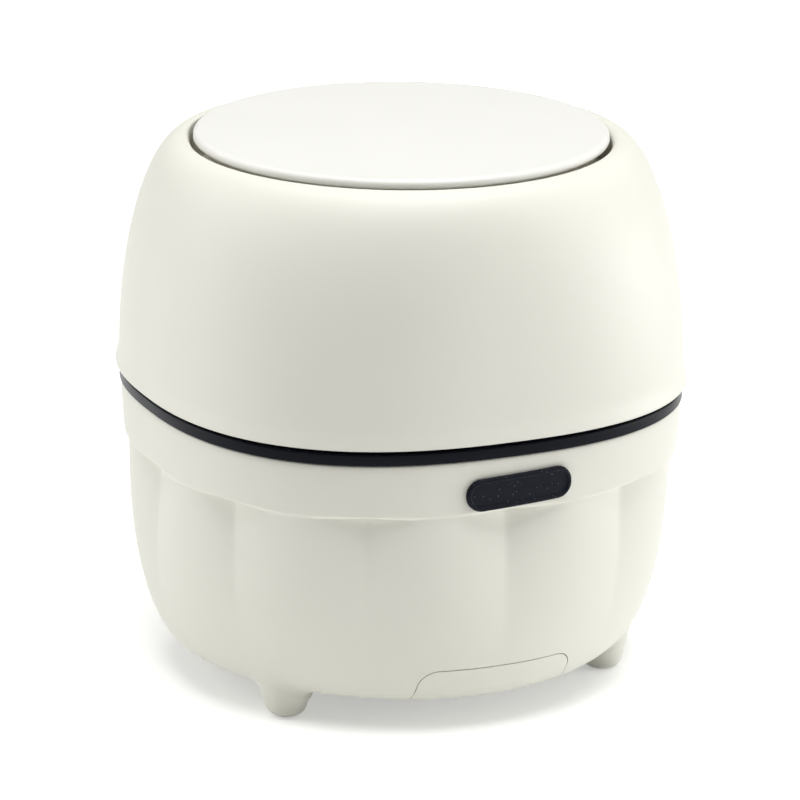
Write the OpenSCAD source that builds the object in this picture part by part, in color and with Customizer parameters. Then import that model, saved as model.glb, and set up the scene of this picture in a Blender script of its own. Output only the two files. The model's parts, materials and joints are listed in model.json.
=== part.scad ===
// Push-top countertop bin.
// A cream bowl with twelve soft flutes stands on four stub feet. A bucket hangs in
// it by its flange, a dark ring clamps the bag over the bucket, and a domed cover
// lifts off the ring. The round lid in the cover springs open when it is pressed.
// Millimetres, +Z up, front at -Y, origin on the table under the centre of the bin.
// The plan shape is a superellipse: a square plan is a high power, a circle is 2.

/* [Plan shape] */
// Power of the plan shape at the waist, where cover and body meet
waist_power = 2.44; // [2.0:0.02:3.0]
// Power of the plan shape at the underside of the body
foot_power = 1.92; // [1.8:0.02:2.6]
// Segments round a swept shell, a multiple of the flutes
shell_segments = 72; // [48:12:144]

/* [Body] */
// Width across the crests of the body
body_w = 174.6; // [150:0.2:210]
// How far the rim stands out past the crests, each side
rim_flare = 0.3; // [0:0.1:1]
// Height from the underside of the bowl to the rim
body_h = 84.2; // [70:0.2:120]
// Run of the rounding from the crests in to the flat underside
bowl_round_w = 16.3; // [10:0.1:24]
// Height of the rounded lower part of the bowl
bowl_round_h = 56.4; // [30:0.2:60]
// Fullness of the bowl's rounding
bowl_fullness = 2.22; // [1.8:0.02:3]
// Wall of the body
body_wall = 2.4; // [1.6:0.1:3.2]
// Thickness of the body's floor
floor_t = 2.4; // [1.6:0.1:3.2]
// Height of the smooth collar above the flutes
collar_h = 16.8; // [10:0.2:24]
// Drop of the ledge from the collar to the full depth of the flutes
ledge_drop = 1.6; // [0.8:0.1:4]
// Number of flutes
flutes = 12; // [6:6:24]
// Depth of a flute's valley
flute_depth = 4.2; // [0:0.1:5]
// Height over which the flutes fade out above the underside
flute_fade_h = 66; // [30:1:67]
// Power of the flutes' fade
flute_fade_power = 1.5; // [1:0.1:3]
// Share of a flute's depth at the step along its crest
crest_step = 0.12; // [0:0.01:0.3]
// Bevel of the rim
rim_bevel = 0.5; // [0.2:0.1:1.2]
// Width of the flat rim that carries the bucket's flange
rim_land = 4.3; // [3.6:0.1:7]
// Depth of the rim's inward flange
rim_flange_t = 2.6; // [1.5:0.1:5]

/* [Feet] */
// Height of the underside above the table
foot_h = 10.2; // [7:0.2:20]
// Distance between the feet, side to side
foot_pitch_x = 112.8; // [90:0.2:122]
// Distance between the feet, front to back
foot_pitch_y = 80; // [60:0.5:90]
// Radius of a foot where it meets the bowl
foot_top_r = 8.8; // [6:0.1:10]
// Radius of a foot just above its rounded end
foot_low_r = 6.9; // [5.8:0.1:8]
// Radius of the rounding at a foot's end
foot_round = 4.2; // [1:0.1:4.2]
// How far a foot's root runs up into the bowl
foot_root_h = 6.6; // [4:0.2:9]
// Radius of a grip pad
pad_r = 2.6; // [2:0.1:2.6]
// Thickness of a grip pad
pad_t = 1.4; // [0.8:0.1:3]
// How far a grip pad stands out of its foot
pad_proud = 0.3; // [0.1:0.1:1]

/* [Badge] */
// Width of the badge
badge_w = 36; // [20:0.2:50]
// Height of the badge
badge_h = 10.4; // [10:0.2:12]
// Radius of the badge's corners
badge_r = 5; // [2:0.1:5]
// Thickness of the badge
badge_t = 1.7; // [1:0.1:2]
// Offset of the badge's centre to the right
badge_x = 2.2; // [-4:0.1:4]
// Turn of the badge in its own plane, right end up
badge_tilt = 2.3; // [0:0.1:3]
// Height of the badge's centre below the body's rim
badge_drop = 10.7; // [8:0.1:10.8]
// Width of the badge's raised border
badge_border = 1.3; // [0.6:0.1:2]
// Depth of the badge's field
badge_sink = 0.6; // [0.2:0.1:0.9]
// Radius of a badge peg
badge_peg_r = 1.2; // [0.8:0.1:1.8]
// Distance between the badge's pegs
badge_peg_pitch = 22; // [10:1:30]

/* [Drawer] */
// Width of the drawer's front
drawer_w = 52.8; // [51.6:0.2:60]
// Height of the drawer front's top edge above the underside of the bowl
drawer_top_h = 13.2; // [13:0.2:20]
// Radius of the drawer front's top corners
drawer_corner_r = 6; // [2:0.5:10]
// Visible seam round the drawer's front
drawer_seam = 0.3; // [0.2:0.05:0.8]
// Depth of the drawer's opening, in from the crests of the body
drawer_depth = 31.3; // [26:0.1:36]
// Width of the tray
tray_w = 46.4; // [34:0.2:48]
// Length of the tray
tray_len = 72; // [40:1:90]
// Height of the tray's walls
tray_h = 9; // [6:0.2:12]
// Wall of the tray
tray_wall = 1.4; // [1:0.1:2.4]
// Thickness of the web behind the drawer's front
web_t = 3; // [2:0.1:5]
// Thickness of a rib behind the drawer's front
rib_t = 1.8; // [1:0.1:3]
// Offset of the outer ribs behind the drawer's front
rib_x = 8; // [5:0.5:10]
// Offset of the drawer's screws
drawer_screw_x = 15; // [12:0.5:18]
// Wall of the drawer's housing
housing_wall = 1.6; // [1:0.1:3]
// Length of the drawer's housing
housing_len = 72; // [50:1:92]
// Distance between the housing's screws, front to back
housing_screw_pitch = 46; // [30:1:60]
// Width of a housing tab
tab_w = 9; // [7:0.5:14]
// Length of a housing tab
tab_len = 10; // [8:0.5:14]
// Height of the bosses under the housing's tabs
floor_boss_h = 4.2; // [3:0.1:6]

/* [Bucket] */
// Distance of the bucket's wall at its top in from the crests of the body
bucket_inset = 4.9; // [4.6:0.1:8]
// Draft of the bucket's wall, each side, from its top to its rounded foot
bucket_draft = 11.4; // [6:0.1:16]
// Height of the bucket's underside above the underside of the bowl
bucket_rise = 16; // [15:0.2:30]
// Rounding at the foot of the bucket
bucket_round = 8; // [3:0.5:16]
// Wall of the bucket
bucket_wall = 1.5; // [1:0.1:2.4]
// Width of the bucket's flange past its wall
bucket_flange = 3.2; // [2:0.1:3.5]
// Thickness of the bucket's flange
flange_t = 1.6; // [1:0.1:2.4]

/* [Bag ring] */
// How far the ring's face stands out past the body's rim, each side
ring_step = 0.6; // [0.2:0.1:1]
// Height of the ring's outer face
ring_face_h = 3.7; // [3:0.1:8]
// Thickness of the ring's outer wall
ring_wall = 1.9; // [1:0.1:2.1]
// Bevel of the ring's top edge
ring_bevel = 0.35; // [0.1:0.05:1]
// Width of the land outside the spigot
ring_land = 1.5; // [1:0.1:3]
// Height of the spigot above the land
spigot_h = 4.7; // [3:0.1:9]
// Thickness of the spigot
spigot_t = 2.4; // [1.4:0.1:4]
// Depth of the skirt inside the bucket
skirt_h = 8; // [4:0.5:16]
// Thickness of the skirt
skirt_t = 1.4; // [1:0.1:2.4]

/* [Cover] */
// How far the cover's bottom edge stands out past the ring, each side
cover_step = 1.2; // [0.6:0.1:2]
// Draft of the cover's bottom band, each side
cover_draft = 1.05; // [0.4:0.05:1.4]
// Height of the cover from its bottom edge to its mouth
cover_h = 77; // [60:0.5:110]
// Height of the cover's bottom band, below the rounding
cover_band_h = 6.2; // [4:0.1:12]
// Fullness of the cover's rounding
cover_fullness = 2.1; // [1.8:0.02:3]
// Shadow gap between the ring's land and the cover
shadow_gap = 1.3; // [0.6:0.1:3]
// Wall of the cover
cover_wall = 2.3; // [1.6:0.1:3]
// Run of the cover's rounding from its band in to the round mouth
shoulder_w = 18.85; // [16:0.05:24]
// Rounding of the mouth's edge
mouth_round = 0.8; // [0.3:0.1:1.6]
// Depth of the recess under the mouth
recess_h = 13.6; // [11:0.2:18]
// Wall of the recess
recess_wall = 2; // [1.4:0.1:2.4]
// Thickness of the ledge that rests on the ring's spigot
ledge_t = 2; // [1.2:0.1:4]
// Width of the ledge inside the cover's wall
ledge_w = 2.6; // [1.5:0.1:4]

/* [Mouth ring] */
// Distance of the throat that the waste drops through in from the mouth
throat_inset = 14.5; // [14:0.1:20]
// Wall of the throat
throat_wall = 2; // [1.4:0.1:3]
// Depth of the throat below the mouth ring's plate
throat_drop = 12.4; // [6:0.2:20]
// Height of the throat's upper wall above the plate
throat_rise = 6.8; // [4:0.2:7.2]
// How far the throat's back is cut flat, for the hinge
throat_flat = 6; // [6:0.1:12]
// Thickness of the mouth ring's plate
plate_t = 2.4; // [1.6:0.1:4]
// How far the mouth ring's plate reaches out past the mouth
plate_reach = 8.1; // [7.4:0.1:8.4]
// Distance of the cover's bosses out from the mouth
boss_offset = 4.8; // [4.6:0.1:5.2]
// Radius of a cover boss
boss_r = 3.2; // [2.4:0.1:3.6]
// Height of a cover boss
boss_h = 5.5; // [4:0.1:6]
// Radius of a rubber bumper
bumper_r = 1.6; // [1:0.1:2]
// Height of a rubber bumper above the throat's wall
bumper_h = 1.1; // [0.6:0.1:1.3]

/* [Lid] */
// Visible gap between the lid and the mouth
lid_gap = 2.5; // [2:0.1:4]
// Height of the lid's edge
lid_edge_h = 2.7; // [2.4:0.1:5]
// How far the lid's edge stands above the mouth
lid_proud = 1.6; // [0.5:0.1:3]
// Height of the lid's crown above its edge
lid_crown = 1.2; // [0.4:0.1:4]
// Rounding of the lid's top edge
lid_round = 1.1; // [0.4:0.1:2]
// Undercut at the lid's lower edge
lid_undercut = 1.5; // [0.4:0.1:1.6]
// Thickness of the lid's skin at its edge
lid_skin = 1.7; // [1:0.1:2]
// Wall of the lid's edge
lid_wall = 1.1; // [0.8:0.1:2]
// Thickness of the lid's inner plate
lid_plate_t = 2.5; // [1.6:0.1:3.2]
// How far the inner plate's back is cut flat, to swing past the mouth
lid_plate_flat = 6; // [5:0.1:7]
// Offset of the lid's screws from its centre, both ways
lid_screw_xy = 29; // [20:0.5:34]
// Radius of a lid boss
lid_boss_r = 3; // [2.2:0.1:4]
// Angle to which the lid opens
open_deg = 78; // [60:1:80]
// Angle that the lid is pressed below rest
press_deg = 1; // [0.5:0.1:1.2]

/* [Hinge] */
// Distance of the hinge axis behind the mouth's edge
hinge_setback = 3; // [2.6:0.1:3.4]
// Depth of the hinge axis below the mouth
hinge_drop = 13.6; // [13:0.1:14.4]
// Radius of the hinge pin
pin_r = 1.5; // [1:0.1:2]
// Radial clearance of the arms on the pin
pin_fit = 0.05; // [0.02:0.01:0.1]
// Offset of an arm's centre
arm_x = 11.5; // [10.5:0.1:12]
// Width of an arm
arm_w = 5; // [3:0.1:5.4]
// Thickness of an arm
arm_t = 4.6; // [3:0.1:4.8]
// Radius of the eye on an arm
eye_r = 3.2; // [2.6:0.1:3.3]
// Reach of an arm round the mouth's rim, from the hinge axis
arm_reach = 18; // [17.6:0.1:18.2]
// Thickness of a bracket ear
ear_t = 2.5; // [1.6:0.1:2.6]
// Gap between an arm and its ear
ear_gap = 1.5; // [0.6:0.1:1.6]
// Depth of the bracket's floor below the hinge axis
bracket_drop = 11.6; // [11.2:0.1:14]
// Thickness of the bracket's floor and flanges
bracket_t = 1.8; // [1.2:0.1:3]
// Height of the lip behind the springs' lower legs
bracket_lip = 3; // [2:0.5:4]
// Width of a bracket flange
bracket_flange = 10; // [8:0.5:14]
// Distance of the bracket's screws in front of the hinge axis
bracket_screw_back = 14.2; // [14:0.1:14.4]
// Distance of the bracket's screws, front to back
bracket_screw_pitch = 8; // [6:0.5:8]
// Thickness of a clip on the pin's end
clip_t = 0.6; // [0.4:0.1:0.8]
// Radius of a clip
clip_r = 2.6; // [2:0.1:3]
// Wire of the torsion springs
spring_wire = 0.8; // [0.5:0.1:0.9]
// Mean radius of the torsion springs
spring_r = 2.9; // [2.75:0.05:3]
// Pitch of the torsion springs
spring_pitch = 1.3; // [1.25:0.05:1.4]
// Whole turns of a torsion spring
spring_turns = 4; // [2:1:4]

/* [Latch] */
// Distance of the latch's centre in from the mouth's edge
latch_inset = 6.7; // [6.2:0.1:6.9]
// Width of the latch's case
case_w = 15; // [13:0.5:16]
// Depth of the latch's case, front to back
case_d = 10.6; // [9:0.1:10.8]
// Height of the latch's case
case_h = 16; // [15:0.5:22]
// Wall of the latch's case
case_wall = 1.2; // [0.8:0.1:1.6]
// Offset of the latch's screws
latch_screw_x = 10.6; // [10.2:0.1:12]
// Half width of the striker's stem
stem_x = 1.4; // [1:0.1:1.5]
// Half width of the striker's head
head_x = 2.2; // [1.9:0.1:2.3]
// Height of the striker's head
head_h = 2.1; // [1.5:0.1:2.6]
// Depth of the striker's head below the mouth ring's plate
head_drop = 2; // [1.6:0.1:3]
// Depth of the striker, front to back
striker_d = 5; // [3:0.1:5.4]
// Thickness of a jaw's arm
jaw_t = 1.6; // [1:0.1:1.8]
// Height of the jaw's block
jaw_block_h = 3; // [2:0.1:4]
// Travel of the striker before it lands on the jaw's block
jaw_gap = 2.5; // [2.5:0.1:3]
// Gap between the open jaw's lips and the striker's head
jaw_clear = 0.25; // [0.2:0.05:0.5]
// Depth of the jaw's lips
jaw_lip = 0.7; // [0.4:0.1:1]
// Wire of the latch's spring
latch_wire = 0.7; // [0.5:0.1:0.8]
// Mean radius of the latch's spring
latch_spring_r = 2.8; // [2:0.1:3.2]
// Turns of the latch's spring
latch_turns = 3; // [2:1:3]

/* [Fits] */
// Gap between two pieces that rest on each other
rest_gap = 0.2; // [0.1:0.05:0.3]
// Gap between the moving walls of two pieces
slide_gap = 0.4; // [0.3:0.05:0.8]
// Radius of a screw's shank
screw_r = 1.25; // [0.8:0.05:1.4]
// Radial play of a shank in its hole
screw_play = 0.05; // [0.02:0.01:0.2]
// Radius of a screw's head
head_r = 2.4; // [1.8:0.1:2.6]
// Height of a screw's head
head_t = 1.3; // [0.8:0.1:1.4]

/* [Hidden] */

cream = [0.93, 0.92, 0.88];
ivory = [0.88, 0.87, 0.82];
navy = [0.10, 0.11, 0.15];
steel = [0.72, 0.73, 0.75];
rubber = [0.80, 0.79, 0.74];
acetal = [0.95, 0.95, 0.94];
fine = 64;
eps = 0.01;

// Widths and radii, from the body out to the cover and in to the mouth
rim_w = body_w + 2 * rim_flare;
ring_w = rim_w + 2 * ring_step;
cover_w = ring_w + 2 * cover_step;
cover_mid_w = cover_w - 2 * cover_draft;
body_flat_w = body_w - 2 * bowl_round_w;
bucket_top_w = body_w - 2 * bucket_inset;
bucket_low_w = bucket_top_w - 2 * bucket_draft;
drawer_front_y = body_w / 2 - drawer_depth;
mouth_r = cover_mid_w / 2 - shoulder_w;
throat_r = mouth_r - throat_inset;
throat_back_y = throat_r - throat_flat;
plate_r = mouth_r + plate_reach;
boss_circle_r = mouth_r + boss_offset;
lid_r = mouth_r - lid_gap;
lid_plate_back = lid_r - lid_plate_flat;
hinge_y = mouth_r + hinge_setback;
latch_y = mouth_r - latch_inset;

// Heights, from the table up
rim_z = foot_h + body_h;
ring_z = rim_z + rest_gap;
land_z = ring_z + ring_face_h;
spigot_z = land_z + spigot_h;
cover_z = land_z + shadow_gap;
mouth_z = cover_z + cover_h;
lid_z = mouth_z + lid_proud - lid_edge_h;
lid_edge_z = lid_z + lid_edge_h;
lid_under_z = lid_edge_z - lid_skin;
lid_plate_z = lid_under_z - rest_gap - lid_plate_t;
recess_z = mouth_z - recess_h;
plate_z = recess_z - plate_t;
hinge_z = mouth_z - hinge_drop;
floor_z = foot_h + floor_t;
collar_z = rim_z - collar_h;

// A superellipse: radius at an angle, and depth at an offset
function plan_r(a, n, t) = a / pow(pow(abs(cos(t)), n) + pow(abs(sin(t)), n), 1 / n);
function plan_y(x, a, n) = pow(pow(a, n) - pow(abs(x), n), 1 / n);
function clamp01(s) = max(0, min(1, s));
function blend(a, b, s) = a + (b - a) * s;

// A rounding from an upright wall at [a0, z0] to a level one at [a1, z1]
function rounding(a0, z0, a1, z1, p, t) = [
    a1 + (a0 - a1) * pow(max(0, cos(t)), 2 / p),
    z0 + (z1 - z0) * pow(max(0, sin(t)), 2 / p)
];

// Plan power of the body and of the cover at a height
function body_power(z) = blend(foot_power, waist_power, clamp01((z - foot_h) / (body_h - collar_h / 2)));
function cover_power(z) = blend(waist_power, 2, pow(clamp01((z - cover_z) / cover_h), 1.5));

// Depth of the flutes at a height
function flute_at(z) = flute_depth * pow(clamp01((z - foot_h) / flute_fade_h), flute_fade_power);

// Depth of a flute at angle t, as a share: a little at the crest, all in the valley
function flute_share(t) = crest_step + (1 - crest_step) * (1 - abs(sin(flutes / 2 * t)));

// A point of a ring [half width, height, power, flute depth] at angle t
function ring_point(r, t) =
    let (radius = plan_r(r[0], r[2], t) - r[3] * flute_share(t))
    [radius * cos(t), radius * sin(t), r[1]];

function shell_points(rings, seg) = [for (r = rings) for (j = [0:seg - 1]) ring_point(r, j * 360 / seg)];

// Triangles between ring i and ring k
function band(i, k, seg) = [for (j = [0:seg - 1]) let (m = (j + 1) % seg)
    each [[i * seg + j, k * seg + m, i * seg + m], [i * seg + j, k * seg + j, k * seg + m]]];

// A closed tube of rings, whose outline runs anticlockwise in the half plane
module loop_shell(rings, seg = shell_segments) {
    count = len(rings);
    polyhedron(
        points = shell_points(rings, seg),
        faces = [for (i = [0:count - 1]) each band(i, (i + 1) % count, seg)]);
}

// A bowl of rings, from the flat under it, over its rim, to the flat inside it
module bowl_shell(rings, seg = shell_segments) {
    count = len(rings);
    polyhedron(
        points = shell_points(rings, seg),
        faces = concat(
            [for (i = [0:count - 2]) each band(i, i + 1, seg)],
            [[for (j = [0:seg - 1]) j]],
            [[for (j = [seg - 1:-1:0]) (count - 1) * seg + j]]));
}

// The bowl's outer or inner surface, from its flat up to the start of the ledge
bowl_top_z = foot_h + bowl_round_h;
bowl_steps = 11;
function bowl_ring(inset, low, t) =
    let (p = rounding(body_w / 2 - inset, bowl_top_z, body_flat_w / 2 - inset, low, bowl_fullness, t))
    [p[0], p[1], body_power(p[1]), flute_at(p[1])];
function bowl_side(inset, low) = [for (i = [0:bowl_steps]) bowl_ring(inset, low, 90 - i * 90 / bowl_steps)];
function bowl_half(z) =
    let (s = clamp01((bowl_top_z - z) / bowl_round_h))
    blend(body_flat_w / 2, body_w / 2, pow(1 - pow(s, bowl_fullness), 1 / bowl_fullness));
function body_ring(a, z, flute) = [a, z, body_power(z), flute];

function body_rings() = concat(
    bowl_side(0, foot_h),
    [
        body_ring(body_w / 2, collar_z - ledge_drop, flute_at(collar_z)),
        body_ring(body_w / 2, collar_z, 0),
        body_ring(rim_w / 2, rim_z - rim_bevel, 0),
        body_ring(rim_w / 2 - rim_bevel, rim_z, 0),
        body_ring(rim_w / 2 - rim_land, rim_z, 0),
        body_ring(rim_w / 2 - rim_land, rim_z - rim_flange_t, 0),
        body_ring(rim_w / 2 - body_wall, rim_z - rim_flange_t - rim_land + body_wall, 0),
        body_ring(body_w / 2 - body_wall, collar_z, 0),
        body_ring(body_w / 2 - body_wall, collar_z - ledge_drop, flute_at(collar_z))
    ],
    [for (i = [bowl_steps:-1:0]) bowl_side(body_wall, floor_z)[i]]);

// Places that repeat
foot_places = [for (sx = [-1, 1]) for (sy = [-1, 1]) [sx * foot_pitch_x / 2, sy * foot_pitch_y / 2]];
housing_half = tray_w / 2 + slide_gap + housing_wall;
housing_boss_x = housing_half + tab_w / 2 + 1;
housing_mid_y = -drawer_front_y + 4 + housing_len / 2;
housing_boss_places = [for (sx = [-1, 1]) for (sy = [-1, 1])
    [sx * housing_boss_x, housing_mid_y + sy * housing_screw_pitch / 2]];
boss_turns = [30, 90, 150, 210, 270, 330];
floor_boss_z = floor_z + floor_boss_h;

// The badge's frame: its centre, turned in its own plane
badge_back = rim_w / 2 + 0.1;
module badge_place() {
    translate([badge_x, 0, rim_z - badge_drop]) rotate([0, -badge_tilt, 0]) children();
}
module badge_pegs(r, y0, y1) {
    badge_place() for (sx = [-1, 1]) translate([sx * badge_peg_pitch / 2, y1, 0])
        rotate([90, 0, 0]) cylinder(r = r, h = y1 - y0, $fn = fine);
}

// A screw with its head on top of z = 0 and its shank below
module screw(length) {
    cylinder(r = head_r, h = head_t, $fn = fine);
    translate([0, 0, -length]) cylinder(r = screw_r, h = length + eps, $fn = fine);
}

// A rounded plate in the XZ plane that runs from y0 to y1
module front_prism(w, h, r, y0, y1) {
    translate([0, y1, 0]) rotate([90, 0, 0]) linear_extrude(height = y1 - y0)
        union() {
            square([w - 2 * r, h], center = true);
            square([w, h - 2 * r], center = true);
            for (sx = [-1, 1]) for (sz = [-1, 1])
                translate([sx * (w / 2 - r), sz * (h / 2 - r)]) circle(r = r, $fn = fine);
        }
}

// The drawer's opening, or with an inset its front, as a prism along Y
module drawer_prism(inset) {
    half = drawer_w / 2 - inset;
    top = drawer_top_h - inset;
    r = drawer_corner_r - inset;
    y0 = drawer_front_y + inset;
    translate([0, -y0, foot_h]) rotate([90, 0, 0]) linear_extrude(height = body_w / 2 + 5 - y0)
        union() {
            translate([-half, -foot_h]) square([2 * half, foot_h + top - r]);
            translate([-half + r, -foot_h]) square([2 * half - 2 * r, foot_h + top]);
            for (sx = [-1, 1]) translate([sx * (half - r), top - r]) circle(r = r, $fn = fine);
        }
}

// One stub foot, solid up into the bowl, with its end at pad_proud
module foot() {
    z0 = pad_proud;
    arc = [for (t = [0:15:90]) [foot_low_r - foot_round + foot_round * sin(t), z0 + foot_round * (1 - cos(t))]];
    rotate_extrude($fn = fine) polygon(concat(
        [[0, z0]],
        arc,
        [[foot_top_r, foot_h], [foot_top_r, foot_h + foot_root_h], [0, foot_h + foot_root_h]]));
}

module body_shell() {
    color(cream) difference() {
        union() {
            bowl_shell(body_rings());
            for (p = foot_places) translate(p) foot();
            for (p = housing_boss_places) translate([p[0], p[1], floor_z - floor_t / 2])
                cylinder(r = screw_r + 2, h = floor_boss_h + floor_t / 2, $fn = fine);
        }
        drawer_prism(0);
        for (p = foot_places) translate([p[0], p[1], -eps])
            cylinder(r = pad_r + screw_play, h = pad_t + screw_play, $fn = fine);
        for (p = housing_boss_places) translate([p[0], p[1], floor_z])
            cylinder(r = screw_r + screw_play, h = floor_boss_h + 1, $fn = fine);
        badge_pegs(badge_peg_r + screw_play, -badge_back - badge_t, -body_w / 2 + 2 * body_wall);
    }
}

// Badge: a bowed plate with a sunk field and two pegs
module badge_bow(a0, a1) {
    step = 2;
    half = badge_w / 2 + abs(badge_x) + 2 * step;
    outer = [for (x = [-half:step:half]) [x, -plan_y(x, a1, waist_power)]];
    inner = [for (x = [half:-step:-half]) [x, -plan_y(x, a0, waist_power)]];
    translate([0, 0, rim_z - body_h]) linear_extrude(height = body_h) polygon(concat(outer, inner));
}
module badge() {
    back_y = -body_w / 2 + body_wall;
    color(navy) union() {
        difference() {
            intersection() {
                badge_bow(badge_back, badge_back + badge_t);
                badge_place() front_prism(badge_w, badge_h, badge_r, -cover_w / 2 - badge_t, back_y);
            }
            intersection() {
                badge_bow(badge_back + badge_t - badge_sink, badge_back + badge_t + 1);
                badge_place() front_prism(badge_w - 2 * badge_border, badge_h - 2 * badge_border,
                    badge_r - badge_border, -cover_w / 2 - badge_t - 1, back_y);
            }
        }
        badge_pegs(badge_peg_r, -badge_back - badge_t / 2, back_y + 1);
    }
}

module drawer_housing() {
    z0 = floor_z + rest_gap;
    roof = floor_z + slide_gap + tray_h + slide_gap;
    y0 = housing_mid_y - housing_len / 2;
    color(ivory) difference() {
        union() {
            translate([-housing_half, y0, z0])
                cube([2 * housing_half, housing_len, roof + housing_wall - z0]);
            for (p = housing_boss_places)
                translate([p[0] - (p[0] > 0 ? tab_w / 2 + 1 + eps : tab_w / 2), p[1] - tab_len / 2,
                    floor_boss_z + rest_gap])
                    cube([tab_w + 1, tab_len, housing_wall]);
        }
        translate([-housing_half + housing_wall, y0 - eps, z0 - eps])
            cube([2 * (housing_half - housing_wall), housing_len - housing_wall, roof - z0 + eps]);
        for (p = housing_boss_places) translate([p[0], p[1], floor_boss_z])
            cylinder(r = screw_r + 0.2, h = housing_wall + 1, $fn = fine);
    }
}

module housing_screws() {
    color(steel) for (p = housing_boss_places)
        translate([p[0], p[1], floor_boss_z + rest_gap + housing_wall]) screw(floor_boss_h + housing_wall);
}

module foot_pads() {
    color(rubber) for (p = foot_places) translate(p) cylinder(r = pad_r, h = pad_t, $fn = fine);
}

// The drawer's front is the piece of the bowl inside its opening, less the seam
web_y = -drawer_front_y - drawer_seam - web_t;
module drawer_front() {
    top = floor_z + slide_gap + tray_h - 1;
    low = floor_z - floor_t / 2;
    color(cream) difference() {
        union() {
            intersection() {
                bowl_shell(body_rings());
                drawer_prism(drawer_seam);
            }
            translate([-tray_w / 2 + 2, web_y, low]) cube([tray_w - 4, web_t, top - low]);
            for (x = [-rib_x, 0, rib_x]) {
                low_y = plan_y(x, bowl_half(floor_z) - body_wall / 2, body_power(floor_z));
                top_y = plan_y(x, bowl_half(top) - body_wall / 2, body_power(top)) - flute_at(top) / 2;
                translate([x - rib_t / 2, 0, 0]) rotate([90, 0, 90]) linear_extrude(height = rib_t)
                    polygon([[web_y + eps, low], [web_y + eps, top], [-top_y, top], [-low_y, low]]);
            }
        }
        for (sx = [-1, 1]) translate([sx * drawer_screw_x, web_y + web_t + eps, (floor_z + top) / 2])
            rotate([90, 0, 0]) cylinder(r = screw_r + screw_play, h = web_t + 1, $fn = fine);
    }
}

tray_y = -drawer_front_y - drawer_seam + rest_gap;
module drawer_tray() {
    z0 = floor_z + slide_gap;
    top = floor_z + slide_gap + tray_h - 1;
    color(ivory) difference() {
        translate([-tray_w / 2, tray_y, z0]) cube([tray_w, tray_len, tray_h]);
        translate([-tray_w / 2 + tray_wall, tray_y + tray_wall, z0 + tray_wall])
            cube([tray_w - 2 * tray_wall, tray_len - 2 * tray_wall, tray_h]);
        for (sx = [-1, 1]) translate([sx * drawer_screw_x, tray_y + tray_wall + 1, (floor_z + top) / 2])
            rotate([90, 0, 0]) cylinder(r = screw_r + 0.15, h = tray_wall + 2, $fn = fine);
    }
}

module drawer_screws() {
    top = floor_z + slide_gap + tray_h - 1;
    color(steel) for (sx = [-1, 1])
        translate([sx * drawer_screw_x, tray_y + tray_wall, (floor_z + top) / 2])
            rotate([-90, 0, 0]) screw(tray_wall + web_t);
}

// The bucket: a drafted cup that hangs by its flange on the body's rim
bucket_z = foot_h + bucket_rise;
bucket_flange_z = rim_z + rest_gap;
function bucket_half(z) =
    blend(bucket_low_w / 2, bucket_top_w / 2, (z - bucket_z - bucket_round) / (bucket_flange_z - bucket_z - bucket_round));
function bucket_ring(a, z) = [a, z, body_power(z), 0];
function bucket_round_rings(inset, z, r) = [for (t = [90:-30:0])
    let (p = rounding(bucket_low_w / 2 - inset, z + r, bucket_low_w / 2 - inset - r, z, 2, t)) bucket_ring(p[0], p[1])];
function bucket_rings() =
    let (top = bucket_flange_z, mid = (bucket_z + bucket_flange_z) / 2, high = rim_z - collar_h / 2,
        r_in = bucket_round - bucket_wall, inside = bucket_round_rings(bucket_wall, bucket_z + bucket_wall, r_in))
    concat(
        bucket_round_rings(0, bucket_z, bucket_round),
        [
            bucket_ring(bucket_half(mid), mid),
            bucket_ring(bucket_half(high), high),
            bucket_ring(bucket_half(top), top),
            bucket_ring(bucket_half(top) + bucket_flange, top),
            bucket_ring(bucket_half(top) + bucket_flange, top + flange_t),
            bucket_ring(bucket_half(top) - bucket_wall, top + flange_t),
            bucket_ring(bucket_half(high) - bucket_wall, high),
            bucket_ring(bucket_half(mid) - bucket_wall, mid)
        ],
        [for (i = [len(inside) - 1:-1:0]) inside[i]]);
module inner_bucket() {
    color(ivory) bowl_shell(bucket_rings());
}

// The bag ring: an outer wall over the bucket's flange, a spigot for the cover
// and a skirt that holds the bag against the bucket's wall
spigot_out = ring_w / 2 - ring_bevel - ring_land;
function ring_ring(a, z) = [a, z, waist_power, 0];
function bag_ring_rings() =
    let (web_z = bucket_flange_z + flange_t + rest_gap,
        low_z = web_z - skirt_h,
        top_out = bucket_half(bucket_flange_z) - bucket_wall - slide_gap,
        low_out = bucket_half(low_z) - bucket_wall - slide_gap)
    [
        ring_ring(ring_w / 2, ring_z),
        ring_ring(ring_w / 2, land_z - ring_bevel),
        ring_ring(ring_w / 2 - ring_bevel, land_z),
        ring_ring(spigot_out, land_z),
        ring_ring(spigot_out, spigot_z),
        ring_ring(spigot_out - spigot_t, spigot_z),
        ring_ring(top_out - skirt_t, web_z + skirt_t),
        ring_ring(low_out - skirt_t, low_z),
        ring_ring(low_out, low_z),
        ring_ring(top_out, web_z),
        ring_ring(ring_w / 2 - ring_wall, web_z),
        ring_ring(ring_w / 2 - ring_wall, ring_z)
    ];
module bag_ring() {
    color(navy) loop_shell(bag_ring_rings());
}

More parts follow.
